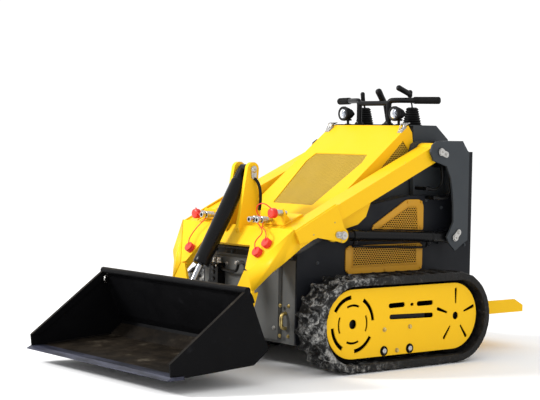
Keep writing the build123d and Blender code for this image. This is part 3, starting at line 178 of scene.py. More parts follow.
def drive(tree, shader, socket, source, stops):
    """Let a ramp over a value drive one of the shader's inputs."""
    tree.links.new(ramp(tree, source, stops), shader.inputs[socket])


def mixed(tree, fac, first, second):
    """Mix two colours by a factor."""
    node = tree.nodes.new("ShaderNodeMix")
    node.data_type = "RGBA"
    tree.links.new(fac, node.inputs["Factor"])
    for socket, value in ((node.inputs["A"], first), (node.inputs["B"], second)):
        if isinstance(value, tuple):
            socket.default_value = (*value, 1)
        else:
            tree.links.new(value, socket)
    return node.outputs["Result"]


def powder_coat(name, colour, roughness, peel, dust, edge=0.002, specular=0.5, film=0.25):
    """Sprayed paint: orange peel, soft blotches of dust and rounded sheet edges."""
    made, tree, shader = material(name, colour, roughness, specular=specular)
    blotch = ramp(tree, noise(tree, 5.0, 5.0, 0.6), [(0.35, 0), (0.8, dust)])
    dirty = tuple(0.8 * c + 0.2 * film for c in colour)
    tree.links.new(mixed(tree, blotch, colour, dirty), shader.inputs["Base Color"])
    drive(tree, shader, "Roughness", noise(tree, 9.0, 4.0, 0.55),
          [(0.3, roughness * 0.85), (0.75, min(1.0, roughness * 1.3))])
    bump(tree, shader, noise(tree, 420.0, 1.0), peel, 0.35, edge)
    return made


def bare_steel(name, colour, roughness, grain=(1, 1, 1)):
    """Turned or plated steel with fine grain."""
    made, tree, shader = material(name, colour, roughness, metallic=1.0)
    grain_map = noise(tree, 240.0, 3.0, 0.6, grain)
    drive(tree, shader, "Roughness", grain_map, [(0.3, roughness * 0.7), (0.7, roughness * 1.4)])
    bump(tree, shader, grain_map, 0.0001, 0.2, 0.0015)
    return made


def passivated(name):
    """Yellow passivated zinc: gold and straw patches over steel."""
    made, tree, shader = material(name, (0.5, 0.36, 0.12), 0.35, metallic=0.9)
    drive(tree, shader, "Base Color", noise(tree, 60.0, 4.0, 0.6),
          [(0.3, (0.30, 0.22, 0.07)), (0.55, (0.58, 0.44, 0.16)), (0.8, (0.75, 0.66, 0.36))])
    bump(tree, shader, noise(tree, 300.0, 2.0), 0.0001, 0.2, 0.001)
    return made


def track_rubber():
    """Worn rubber: pale dried earth on the torn front lugs, cleaner brown black behind."""
    made, tree, shader = material("track_rubber", (0.02, 0.02, 0.02), 0.75, specular=0.2)
    where = tree.nodes.new("ShaderNodeTexCoord")
    split = tree.nodes.new("ShaderNodeSeparateXYZ")
    tree.links.new(where.outputs["Object"], split.inputs["Vector"])
    spread = tree.nodes.new("ShaderNodeMapRange")
    spread.inputs["From Min"].default_value = -0.15
    spread.inputs["From Max"].default_value = 0.12
    tree.links.new(split.outputs["Y"], spread.inputs["Value"])
    earth = ramp(tree, noise(tree, 21.0, 9.0, 0.78),
                 [(0.42, 0.004), (0.5, 0.02), (0.55, (0.17, 0.17, 0.165)), (0.66, (0.5, 0.49, 0.46))])
    clean = ramp(tree, noise(tree, 30.0, 9.0, 0.8),
                 [(0.45, 0.005), (0.6, (0.02, 0.018, 0.016)), (0.66, (0.13, 0.12, 0.12)), (0.74, (0.34, 0.32, 0.33))])
    tree.links.new(mixed(tree, spread.outputs["Result"], earth, clean), shader.inputs["Base Color"])
    drive(tree, shader, "Roughness", noise(tree, 30.0, 4.0, 0.6), [(0.3, 0.42), (0.7, 0.85)])
    bump(tree, shader, noise(tree, 70.0, 8.0, 0.7), 0.005, 0.9)
    return made


def moulded(name, colour, roughness, grain=0.0003, specular=0.4, lift=1.8):
    """Moulded rubber or plastic with a fine leather grain."""
    made, tree, shader = material(name, colour, roughness, specular=specular)
    bump(tree, shader, noise(tree, 300.0, 2.0), grain, 0.5, 0.0015)
    pale = tuple(min(1, c * lift + 0.002) for c in colour)
    drive(tree, shader, "Base Color", noise(tree, 18.0, 3.0), [(0.35, colour), (0.75, pale)])
    return made


def edge_steel_with_blue_sheen():
    """Ground cutting edge: black scale rubbed to bare metal, tinted blue as a painted sheen."""
    made, tree, shader = material("cutting_edge_steel", (0.05, 0.05, 0.06), 0.4, metallic=0.3, specular=0.2)
    # the blue middle colour is a painted sheen; the near black and the pale grey are scale and rubbed metal
    drive(tree, shader, "Base Color", noise(tree, 9.0, 6.0, 0.65, (0.4, 3, 3)),
          [(0.4, (0.012, 0.013, 0.02)), (0.6, (0.045, 0.048, 0.075)), (0.8, (0.16, 0.15, 0.15))])
    bump(tree, shader, noise(tree, 60.0, 6.0, 0.6), 0.0008, 0.5, 0.002)
    return made


def bucket_paint(black):
    """Black paint, scuffed and dusty where loads slide: earth gathers on faces that look up."""
    made, tree, shader = material("bucket_black", black, 0.42, specular=0.045)
    shape = tree.nodes.new("ShaderNodeNewGeometry")
    facing = tree.nodes.new("ShaderNodeSeparateXYZ")
    tree.links.new(shape.outputs["Normal"], facing.inputs["Vector"])
    shelf = ramp(tree, facing.outputs["Z"], [(0.55, 0), (0.95, 1)])
    scuffs = ramp(tree, noise(tree, 7.0, 8.0, 0.72),
                  [(0.42, (0.010, 0.008, 0.006)), (0.58, (0.022, 0.017, 0.012)), (0.74, (0.10, 0.085, 0.062))])
    clean = ramp(tree, noise(tree, 16.0, 8.0, 0.75), [(0.6, black), (0.8, tuple(c * 4 for c in black))])
    tree.links.new(mixed(tree, shelf, clean, scuffs), shader.inputs["Base Color"])
    drive(tree, shader, "Roughness", noise(tree, 12.0, 5.0, 0.6), [(0.3, 0.3), (0.7, 0.6)])
    bump(tree, shader, noise(tree, 40.0, 6.0, 0.65), 0.0008, 0.35, 0.002)
    return made


def lens_glass():
    """Clear pressed lens with shallow flutes."""
    made, tree, shader = material("lamp_glass", (0.95, 0.97, 1.0), 0.05)
    shader.inputs["Transmission Weight"].default_value = 1.0
    shader.inputs["IOR"].default_value = 1.3
    bump(tree, shader, noise(tree, 120.0, 1.0), 0.0006, 0.3)
    return made


LOOKS = {}


def make_looks(paint):
    """Every finish of the loader, by name."""
    black, peel = tuple(paint.black), paint.peel
    LOOKS.update({
        "yellow": powder_coat("yellow_paint", tuple(paint.yellow), 0.36, peel, 0.1, specular=0.08, film=0.12),
        "tower_grey": powder_coat("tower_grey_paint", tuple(paint.tower_grey), 0.5, peel, 0.3, specular=0.2, film=0.1),
        # darker grey of the side panels: painted shade
        "side_grey": powder_coat("side_grey_paint", tuple(paint.side_grey), 0.5, peel, 0.25, specular=0.15, film=0.06),
        # lighter grey of the front wall: painted light
        "front_grey": powder_coat("front_grey_paint", tuple(paint.front_grey), 0.55, peel, 0.35, specular=0.2),
        "black": powder_coat("black_paint", black, 0.27, peel, 0.15, specular=0.13, film=0.03),
        "ochre": powder_coat("ochre_paint", tuple(paint.ochre), 0.45, peel, 0.3, 0.001, specular=0.25),
        "grille_ochre": powder_coat("grille_ochre_paint", (0.56, 0.36, 0.03), 0.5, peel, 0.3, 0, specular=0.25),
        "engine_iron": powder_coat("engine_iron", (0.012, 0.012, 0.013), 0.7, 0.001, 0.3, film=0.05),
        "zinc": bare_steel("zinc_plate", (0.5, 0.49, 0.47), 0.3),
        "gold_zinc": passivated("gold_zinc_plate"),
        "worn_steel": edge_steel_with_blue_sheen(),
        "bright_bowl": bare_steel("bright_bowl", (0.7, 0.7, 0.72), 0.16),
        "chrome": bare_steel("chrome_rod", (0.3, 0.31, 0.33), 0.16, (1, 1, 8)),
        "track_rubber": track_rubber(),
        "hose_rubber": moulded("hose_rubber", (0.004, 0.004, 0.004), 0.35, 0.0006, 0.16),
        "boot_rubber": moulded("boot_rubber", (0.003, 0.003, 0.003), 0.5, specular=0.1),
        "grip_foam": moulded("grip_foam", (0.005, 0.005, 0.005), 0.7, 0.0012, 0.1),
        "black_plastic": moulded("black_plastic", (0.004, 0.004, 0.0045), 0.36, specular=0.14),
        "red_plastic": moulded("red_cap_plastic", tuple(paint.red), 0.38, lift=1.15),
        "shade": moulded("shade_black", (0.003, 0.003, 0.003), 0.9, specular=0.05),
        "lamp_glass": lens_glass(),
        "bucket_black": bucket_paint(black),
        "dial_white": moulded("dial_white", (0.7, 0.7, 0.68), 0.5, lift=1.05),
    })


LOOK_NODES = {
    "front_grey": "hull", "side_grey": "side_panel", "tower_grey": "upper_body tower console",
    "yellow": "track_cover boom_head arm hood platform", "ochre": "side_screens", "grille_ochre": "hood_grilles",
    # The front beam wears black as painted shade below the boom's cross beam.
    "black": "front_beam track_frame handlebar lift_barrel tilt_barrel", "bucket_black": "bucket_shell coupler",
    "engine_iron": "engine_block", "zinc": "tower_pins boom_pins quick_couplers hood_latches",
    "gold_zinc": "tie_down_eyes", "chrome": "lift_rod tilt_rod", "worn_steel": "cutting_edge",
    "track_rubber": "track", "hose_rubber": "hydraulic_lines", "boot_rubber": "lever_boots",
    "black_plastic": "levers lamps", "shade": "track_wheels", "lamp_glass": "lamp_lenses",
}
NODE_LOOKS = {node: look for look, nodes in LOOK_NODES.items() for node in nodes.split()}


def wear(piece, look):
    """Put a finish on a piece, as its only one."""
    piece.data.materials.clear()
    piece.data.materials.append(LOOKS[look])


# ---------------- shaping
def spot(x, y, z):
    """A point in metres from millimetres, y counted backwards from the front axle."""
    return Vector((x, y, z)) * MM + FRONT_AXLE


def frame_of(axis):
    """Two directions square to an axis and to each other."""
    axis = Vector(axis).normalized()
    side = axis.cross(Vector((0, 0, 1)))
    if side.length < 0.05:
        side = axis.cross(Vector((0, 1, 0)))
    side.normalize()
    return axis, side, axis.cross(side)


def edges(outline):
    """Neighbouring corners of an outline, all the way round."""
    return zip(outline, outline[1:] + outline[:1])


def placed(name, data):
    """An object of some data, linked into the scene."""
    piece = bpy.data.objects.new(name, data)
    bpy.context.scene.collection.objects.link(piece)
    return piece


def circle(middle, across, up, radius, sides):
    """Points round a middle in metres, at a radius in millimetres."""
    turns = [2 * pi * k / sides for k in range(sides)]
    return [middle + (across * cos(turn) + up * sin(turn)) * radius * MM for turn in turns]


class Blank:
    """Mesh data gathered part by part before it becomes one piece."""

    def __init__(self):
        self.points = []
        self.faces = []

    def add(self, points, faces):
        """Take in points, and faces that count from the first of them."""
        start = len(self.points)
        self.points += [tuple(p) for p in points]
        self.faces += [tuple(start + i for i in face) for face in faces]

    def rings(self, rings):
        """Skin between rings of equally many points, closed at both ends."""
        count = len(rings[0])
        faces = []
        for r in range(len(rings) - 1):
            for i in range(count):
                j = (i + 1) % count
                faces.append((r * count + i, r * count + j, (r + 1) * count + j, (r + 1) * count + i))
        faces.append(tuple(range(count))[::-1])
        faces.append(tuple((len(rings) - 1) * count + i for i in range(count)))
        self.add([p for ring in rings for p in ring], faces)

    def turned(self, base, axis, profile, sides=24):
        """A lathe shape: profile holds (distance along the axis, radius) in millimetres."""
        axis, across, up = frame_of(axis)
        self.rings([circle(base + axis * along * MM, across, up, radius, sides) for along, radius in profile])

    def rod(self, points, radius, sides=10):
        """A round bar of that radius in millimetres through points in metres."""
        rings = []
        across = None
        for i, point in enumerate(points):
            ahead = points[min(i + 1, len(points) - 1)] - points[max(i - 1, 0)]
            ahead.normalize()
            if across is None:
                across = frame_of(ahead)[1]
            across = (across - ahead * across.dot(ahead)).normalized()
            up = ahead.cross(across)
            rings.append(circle(point, across, up, radius, sides))
        self.rings(rings)

    def plate(self, outline, x_start, x_end):
        """An outline of (y, z) corners in millimetres, extruded along X."""
        self.rings([[spot(x, y, z) for y, z in outline] for x in (x_start, x_end)])

    def block(self, low, high, slope=0.0):
        """A block between two corners in millimetres, its upper face drawn in by slope."""
        (x0, y0, z0), (x1, y1, z1) = low, high
        self.rings([[spot(x0 + s, y0 + s, z), spot(x1 - s, y0 + s, z), spot(x1 - s, y1 - s, z), spot(x0 + s, y1 - s, z)]
                    for s, z in ((0, z0), (slope, z1))])

    def bolt(self, base, axis, size, washer=True):
        """Hexagon bolt head on a washer; size is the width over the corners."""
        if washer:
            self.turned(base, axis, [(size * a, size * r) for a, r in ((0, 0.62), (0.1, 0.62), (0.12, 0.58))], 16)
        self.turned(base, axis, [(size * a, size * r) for a, r in ((0.1, 0.47), (0.12, 0.5), (0.4, 0.5), (0.46, 0.42))],
                    6)

    def make(self, name, body, look, slot=None, edge=0.0, smooth=35.0):
        """One piece of this mesh, in its finish and riding on its body."""
        mesh = bpy.data.meshes.new(name)
        mesh.from_pydata(self.points, [], self.faces)
        work = bmesh.new()
        work.from_mesh(mesh)
        bmesh.ops.recalc_face_normals(work, faces=work.faces)
        work.to_mesh(mesh)
        work.free()
        for face in mesh.polygons:
            face.use_smooth = True
        mesh.set_sharp_from_angle(angle=radians(smooth))
        piece = placed(name, mesh)
        if edge:
            bevel = piece.modifiers.new("edge", "BEVEL")
            bevel.width = edge * MM
            bevel.segments = 2
            bevel.limit_method = "ANGLE"
            bevel.angle_limit = radians(40)
            bevel.harden_normals = True
        wear(piece, look)
        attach(piece, body)
        return piece


def flowing(points, steps=8):
    """Points of a smooth line through the given points."""
    line = []
    ends = [points[0] * 2 - points[1]] + list(points) + [points[-1] * 2 - points[-2]]
    for i in range(1, len(ends) - 2):
        p0, p1, p2, p3 = ends[i - 1:i + 3]
        for k in range(steps):
            t = k / steps
            line.append(0.5 * ((2 * p1) + (p2 - p0) * t + (2 * p0 - 5 * p1 + 4 * p2 - p3) * t * t
                               + (3 * p1 - p0 - 3 * p2 + p3) * t ** 3))
    line.append(points[-1].copy())
    return line


def inside(outline, u, v):
    """True where (u, v) lies inside a closed outline."""
    hit = False
    for i, (a, b) in enumerate(outline):
        c, d = outline[i - 1]
        if (b > v) != (d > v) and u < (c - a) * (v - b) / (d - b) + a:
            hit = not hit
    return hit


def punched(blank, outline, pitch, hole, to_point, depth):
    """Fill an outline with a sheet of staggered eight-sided holes: pitch is (u, v), hole the (u, v) radii, in mm."""
    us, vs = [p[0] for p in outline], [p[1] for p in outline]
    rows = int((max(vs) - min(vs)) / pitch[1]) + 2
    columns = int((max(us) - min(us)) / pitch[0]) + 2
    rim = [(-0.5, -0.5), (0, -0.5), (0.5, -0.5), (0.5, 0), (0.5, 0.5), (0, 0.5), (-0.5, 0.5), (-0.5, 0)]
    turns = [radians(225 + 45 * k) for k in range(8)]
    for r in range(rows):
        for c in range(columns):
            u = min(us) + (c + 0.5 * (r % 2)) * pitch[0]
            v = min(vs) + r * pitch[1]
            if not inside(outline, u, v):
                continue
            outer = [to_point(u + a * pitch[0], v + b * pitch[1], 0) for a, b in rim]
            inner, low = ([to_point(u + hole[0] * cos(t), v + hole[1] * sin(t), d) for t in turns] for d in (0, -depth))
            faces = [(n + k, n + (k + 1) % 8, n + 8 + (k + 1) % 8, n + 8 + k) for n in (0, 8) for k in range(8)]
            blank.add(outer + inner + low, faces)


class LOADER_OT_finishes(bpy.types.Operator):
    """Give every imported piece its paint, plating or rubber"""
    bl_idname = "loader.finishes"
    bl_label = "Finishes"

    def execute(self, context):
        make_looks(context.scene.loader_paint)
        for node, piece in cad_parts.items():
            look = LOOKS[NODE_LOOKS[node.replace("_left", "").replace("_right", "")]]
            if not piece.data.materials:
                piece.data.materials.append(None)
            for slot in piece.material_slots:
                slot.material = look
        return {"FINISHED"}


# ---------------- hood
HOOD_FOOT = (10.0, 662.0)                       # front edge of the hood's slope
HOOD_ALONG = (0.7876, 0.6162)                   # up the slope, as (y, z)
GRILLE = [(-140, 80), (140, 80), (196, 394), (180, 456), (-180, 456), (-196, 394)]
HOOD_SIDE_MESH = [(510, 1009), (556, 957), (546, 943), (356, 867)]
CREST = (552, 1089)                             # (y, z) where the latches hook over the hood's crest


def on_hood(u, s, off=0.0):
    """A point on the hood's slope: u across, s up the slope, off its surface."""
    y = HOOD_FOOT[0] + HOOD_ALONG[0] * s - HOOD_ALONG[1] * off
    z = HOOD_FOOT[1] + HOOD_ALONG[1] * s + HOOD_ALONG[0] * off
    return spot(u, y, z)


def widened(outline, factor):
    """An outline enlarged about its middle."""
    middle = [sum(p[i] for p in outline) / len(outline) for i in (0, 1)]
    return [tuple(middle[i] + (p[i] - middle[i]) * factor for i in (0, 1)) for p in outline]


class LOADER_OT_hood_grilles(bpy.types.Operator):
    """Punched sheets behind the hood's large opening and its two side openings"""
    bl_idname = "loader.hood_grilles"
    bl_label = "Hood grilles"

    def execute(self, context):
        pitch = context.scene.loader_fittings.hole_pitch
        sheet, shade = Blank(), Blank()
        punched(sheet, widened(GRILLE, 1.035), pitch, (pitch[0] * 0.33, pitch[1] * 0.33),
                lambda u, v, d: on_hood(u, v, d - 3.5), 0)
        shade.rings([[on_hood(u, v, off) for u, v in widened(GRILLE, 1.04)] for off in (-5.2, -6)])
        for side in SIDES:
            punched(sheet, widened(HOOD_SIDE_MESH, 1.12), (10.5, 8.6), (3.9, 3.3),
                    lambda y, z, d: spot(side * (263.4 + d), y, z), 0)
            shade.plate(widened(HOOD_SIDE_MESH, 1.15), side * 262, side * 261.2)
        made = sheet.make("hood_grille_sheets", "hood", "grille_ochre", "screen_ochre")
        shade.make("hood_grille_shade", "hood", "shade", "black_plastic")
        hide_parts("hood_grilles")
        return {"FINISHED"}


class LOADER_OT_hood_fittings(bpy.types.Operator):
    """Rubber seal along the hood's crest, hem folds and the two toggle latches"""
    bl_idname = "loader.hood_fittings"
    bl_label = "Hood seal and latches"

    def execute(self, context):
        seal = Blank()
        seal.rod([spot(x, 555.0, 1080.0) for x in (-250, -120, 0, 120, 250)], 4.0)
        seal.make("hood_crest_seal", "chassis", "shade", "boot_rubber")
        hem = Blank()
        for side in SIDES:                              # folded rim of the side openings
            for ends in edges(HOOD_SIDE_MESH):
                hem.rod([spot(side * 266.2, *end) for end in ends], 1.6, 6)
        for ends in edges(GRILLE):
            hem.rod([on_hood(*end, -2.2) for end in ends], 1.6, 6)
        hem.make("hood_opening_hems", "hood", "yellow", "yellow_paint")
        latch = Blank()
        for side in SIDES:
            x = side * 253
            latch.rings([[on_hood(x + dx, s, off) for dx, s in ((-15, 620), (15, 620), (15, 662), (-15, 662))]
                         for off in (0.2, 2.4)])
            for dx in (-11, 11):                        # bail of the toggle
                latch.rod(flowing([on_hood(x + dx, 630, 4), on_hood(x + dx * 1.1, 648, 12),
                                   on_hood(x + dx * 0.9, 664, 20), spot(x + dx * 0.6, *CREST)], 4), 2.2, 8)
            latch.rod([on_hood(x + dx, 630, 4) for dx in (-11, 11)], 3.0, 8)
            latch.rod([spot(x + dx, *CREST) for dx in (-8, 8)], 2.6, 8)
            lever = [(520, 1073), (535, 1087), (558, 1093), (561, 1090), (540, 1081), (524, 1070)]
            latch.plate(lever, x - 7, x + 7)
            for dx in (-9, 9):
                latch.bolt(on_hood(x + dx, 655, 2.4), (0, -HOOD_ALONG[1], HOOD_ALONG[0]), 7, False)
        made = latch.make("hood_toggle_latches", "hood", "zinc", "zinc_steel", 0.6)
        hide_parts("hood_latches")
        return {"FINISHED"}


# ---------------- side screens
LOWER_MESH = [(143, 446), (537, 446), (537, 535), (143, 535)]
UPPER_MESH = [(294, 613), (481, 707), (533, 707), (545, 603)]


class LOADER_OT_side_screens(bpy.types.Operator):
    """Punched sheets in the frames of the side screens"""
    bl_idname = "loader.side_screens"
    bl_label = "Side screens"

    def execute(self, context):
        pitch = context.scene.loader_fittings.screen_pitch
        sheet, shade, rims = Blank(), Blank(), Blank()
        for side in SIDES:
            for outline in (LOWER_MESH, UPPER_MESH):
                punched(sheet, outline, pitch, (pitch[0] * 0.42, pitch[1] * 0.42),
                        lambda y, z, d: spot(side * (343 + d), y, z), 1.2)
                shade.plate(outline, side * 341.2, side * 341.7)
                for ends in edges(outline):
                    rims.rod([spot(side * 342, *end) for end in ends], 1.8, 6)
            for y, z in ((114, 426), (565, 426), (114, 527), (565, 527), (340, 424), (262, 612), (560, 612),
                         (562, 728), (478, 728)):
                rims.bolt(spot(side * 341, y, z), (side, 0, 0), 11)
        sheet.make("side_screen_sheets", "chassis", "ochre", "screen_ochre")
        shade.make("side_screen_shade", "chassis", "shade", "black_plastic")
        rims.make("side_screen_rims", "chassis", "ochre", "screen_ochre")
        return {"FINISHED"}


# ---------------- controls
TOP = 1082.3                                    # foot of what stands on the console
GRIP_RIB = 4.0                                  # pitch of the ribs on the foam grips
BOOT_HEIGHT = 76                                # folded part of a lever's boot


def tube(name, points, radius, body, look, replaces=()):
    """A bent tube or hose on one smooth spline, its points in millimetres."""
    data = bpy.data.curves.new(name, "CURVE")
    data.dimensions = "3D"
    line = data.splines.new("NURBS")
    line.points.add(len(points) - 1)
    for point, place in zip(line.points, points):
        point.co = (*spot(*place), 1)
    line.order_u = 3
    line.use_endpoint_u = True
    line.resolution_u = 16
    data.bevel_depth = radius * MM
    data.bevel_resolution = 4
    data.use_fill_caps = True
    piece = placed(name, data)
    wear(piece, look)
    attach(piece, body)
    if replaces:
        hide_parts(*replaces)
    return piece


class LOADER_OT_handlebar(bpy.types.Operator):
    """Bent bar with ribbed foam grips, flanged feet and a crossbar"""
    bl_idname = "loader.handlebar"
    bl_label = "Handlebar"

    def execute(self, context):
        for name, side in HANDS:
            bends = [(102, 572, TOP), (102, 572, 1140), (102, 572, 1180), (108, 574, 1196), (134, 583, 1198),
                     (176, 599, 1198), (340, 661, 1198)]
            tube(f"handlebar_tube_{name}", [(side * x, y, z) for x, y, z in bends], 13, "chassis", "black",
                 ("handlebar",) if side > 0 else ())
        tube("handlebar_crossbar", [(-102, 572, 1184), (0, 572, 1184), (102, 572, 1184)], 12, "chassis", "black")
        feet, grips = Blank(), Blank()
        for side in SIDES:
            feet.turned(spot(side * 102, 572, TOP), (0, 0, 1),
                        [(0, 21), (4, 22), (6, 21), (7, 16), (13, 14.5), (14, 12)])
            for turn in range(4):
                angle = pi / 4 + turn * pi / 2
                feet.bolt(spot(side * 102 + 17 * cos(angle), 572 + 17 * sin(angle), TOP + 5.5), (0, 0, 1), 7, False)
            start, tip = spot(side * 224, 617.5, 1198), spot(side * 348, 664, 1198)
            length = (tip - start).length / MM
            profile = [(0, 13), (0.5, 16)]
            rib = GRIP_RIB
            while rib < length - 2 * GRIP_RIB:
                profile += [(rib, 17), (rib + 1.6, 17), (rib + 2.2, 16), (rib + 3.4, 16)]
                rib += GRIP_RIB
            profile += [(length - 5, 16.8), (length - 1.5, 14), (length, 9)]
            grips.turned(start, tip - start, profile, 24)
        feet.make("handlebar_feet", "chassis", "black", "black_paint")
        grips.make("handlebar_grips", "chassis", "grip_foam", "boot_rubber", smooth=50)
        return {"FINISHED"}


class LOADER_OT_levers(bpy.types.Operator):
    """Control levers with rounded knobs, standing in bellows boots"""
    bl_idname = "loader.levers"
    bl_label = "Levers and boots"

    def execute(self, context):
        folds = context.scene.loader_fittings.folds
        boots = Blank()
        for x in (-165, 165):
            profile = [(0, 47), (3, 47), (4, 44)]
            for i in range(folds):
                low = 5 + BOOT_HEIGHT * i / folds
                radius = 45 - 18 * (low / 84)
                step = BOOT_HEIGHT / folds
                profile += [(low, radius - 4), (low + step * 0.25, radius - 0.6), (low + step * 0.45, radius),
                            (low + step * 0.65, radius - 0.8), (low + step * 0.95, radius - 4.6)]
            profile += [(82, 22), (84, 20), (84, 8)]
            boots.turned(spot(x, 665, TOP), (0, 0, 1), profile, 40)
        made = boots.make("lever_boot_bellows", "chassis", "boot_rubber", "boot_rubber", smooth=50)
        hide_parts("lever_boots")

        def knob(x, low, high, radius):
            """A rounded knob between two (y, height) points."""
            start, end = spot(x, low[0], TOP + low[1]), spot(x, high[0], TOP + high[1])
            length = (end - start).length / MM
            knobs.turned(start, end - start,
                         [(0, radius * 0.55), (radius * 0.2, radius * 0.82), (radius * 0.6, radius * 0.96),
                          (length * 0.5, radius * 0.94), (length - radius, radius),
                          (length - radius * 0.5, radius * 0.93), (length - radius * 0.15, radius * 0.66),
                          (length, radius * 0.25)])

        knobs, stems = Blank(), Blank()
        knob(-165, (654, 110), (648, 160), 11)
        knob(0, (641, 100), (593, 170), 16.5)
        knob(165, (645, 147), (564, 177), 14)
        knob(165, (648, 130), (648, 166), 12.5)
        for x, foot, y, height, radius in ((-165, 84, 653, 116, 4.5), (0, 0, 640, 106, 7.5), (165, 84, 648, 150, 4.0)):
            stems.rod([spot(x, 665, TOP + foot), spot(x, y, TOP + height)], radius, 14)
        stems.turned(spot(0, 665, TOP), (0, 0, 1), [(0, 30), (3, 30), (8, 22), (16, 14), (22, 10)], 28)
        made = knobs.make("lever_knobs", "chassis", "black_plastic", "black_plastic", smooth=60)
        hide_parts("levers")
        stems.make("lever_stems", "chassis", "black", "black_paint", smooth=50)
        return {"FINISHED"}


class LOADER_OT_lamps(bpy.types.Operator):
    """Work lamps: finned housing, bright bowl, round lens and stand"""
    bl_idname = "loader.lamps"
    bl_label = "Work lamps"

    def execute(self, context):
        housings, bowls, lenses, stands = Blank(), Blank(), Blank(), Blank()
        z = TOP + 52
        for side in SIDES:
            x = side * 177
            face = spot(x, 531, z)
            profile = [(9, 21), (0.8, 22.5), (-0.6, 25), (-1, 31), (1, 34.5), (12, 35.5), (14, 33)]
            depth = 16.0
            while depth < 58:
                share = (depth - 14) / 50
                radius = 33 - 17 * share ** 1.3
                profile += [(depth, radius), (depth + 2.2, radius), (depth + 2.8, radius - 3.4),
                            (depth + 5.4, radius - 4)]
                depth += 6
            profile += [(66, 12), (72, 8)]
            housings.turned(face, (0, 1, 0), profile, 40)
            bowls.turned(face, (0, 1, 0), [(1.6, 22), (5, 20), (8.4, 14), (8.6, 8), (5.6, 7.4), (4.4, 4), (4.2, 1)],
                         40)
            lenses.turned(face, (0, 1, 0), [(0.6, 22), (-1.6, 18), (-3, 10), (-3.4, 3), (-1.4, 3), (-1.2, 10),
                                            (0.2, 18), (1.4, 22)], 40)
            stands.rod([spot(x, 567, TOP), spot(x, 567, z - 26)], 6.5, 14)
            stands.turned(spot(x, 567, TOP), (0, 0, 1), [(0, 15), (3, 15), (4, 13), (4, 7)], 20)
            stands.plate([(556, z - 34), (578, z - 34), (578, z - 24), (556, z - 24)], x - 14, x + 14)
            stands.bolt(spot(x + 14, 567, z - 29), (1, 0, 0), 9, False)
        made = housings.make("lamp_housings", "chassis", "black_plastic", "black_plastic", smooth=30)
        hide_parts("lamps")
        bowls.make("lamp_bowls", "chassis", "bright_bowl", "zinc_steel", smooth=50)
        made = lenses.make("lamp_lens_glass", "chassis", "lamp_glass", "lamp_glass", smooth=60)
        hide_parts("lamp_lenses")
        stands.make("lamp_stands", "chassis", "black", "black_paint")
        return {"FINISHED"}


# ---------------- hydraulics
ARCH_DOWN = (-0.554, -0.8324)                   # down the arch plate of the boom, as (y, z)


def arch(down, off):
    """(y, z) at distance down the arch plate of the boom and off its face."""
    return (-251 + ARCH_DOWN[0] * down + ARCH_DOWN[1] * off,
            624.3 + ARCH_DOWN[1] * down - ARCH_DOWN[0] * off)


COUPLERS = [  # x, z, front end y, rear end y, has its cap on
    (152, 656, -300, -200, False), (206, 656, -300, -200, False), (272, 688, -276, -190, True),
    (-200, 658, -296, -200, False), (-272, 658, -282, -200, True)]
HANGING_CAPS = [(286, 84), (256, 132), (-222, 146)]     # x, and distance down the arch plate
STRAPS = [
    [(272, -262, 700), (262, -276, 716), (234, -290, 732), (196, -292, 718), (184, -284, 690), (190, -272, 668),
     (206, -268, 670)],
    [(286, *arch(84, 22)), (292, *arch(66, 34)), (276, *arch(40, 36)), (232, *arch(22, 30)), (222, *arch(4, 30)),
     (214, -268, 648)],
    [(256, *arch(132, 22)), (244, *arch(112, 34)), (232, *arch(82, 30)), (248, *arch(44, 26)), (214, *arch(14, 30)),
     (166, -272, 646)],
    [(-222, *arch(146, 22)), (-232, *arch(120, 30)), (-238, *arch(84, 26)), (-228, *arch(48, 26)),
     (-206, *arch(16, 28)), (-200, -268, 646)],
    [(-272, -270, 680), (-262, -284, 690), (-242, -292, 672), (-224, -286, 652), (-208, -270, 648)]]


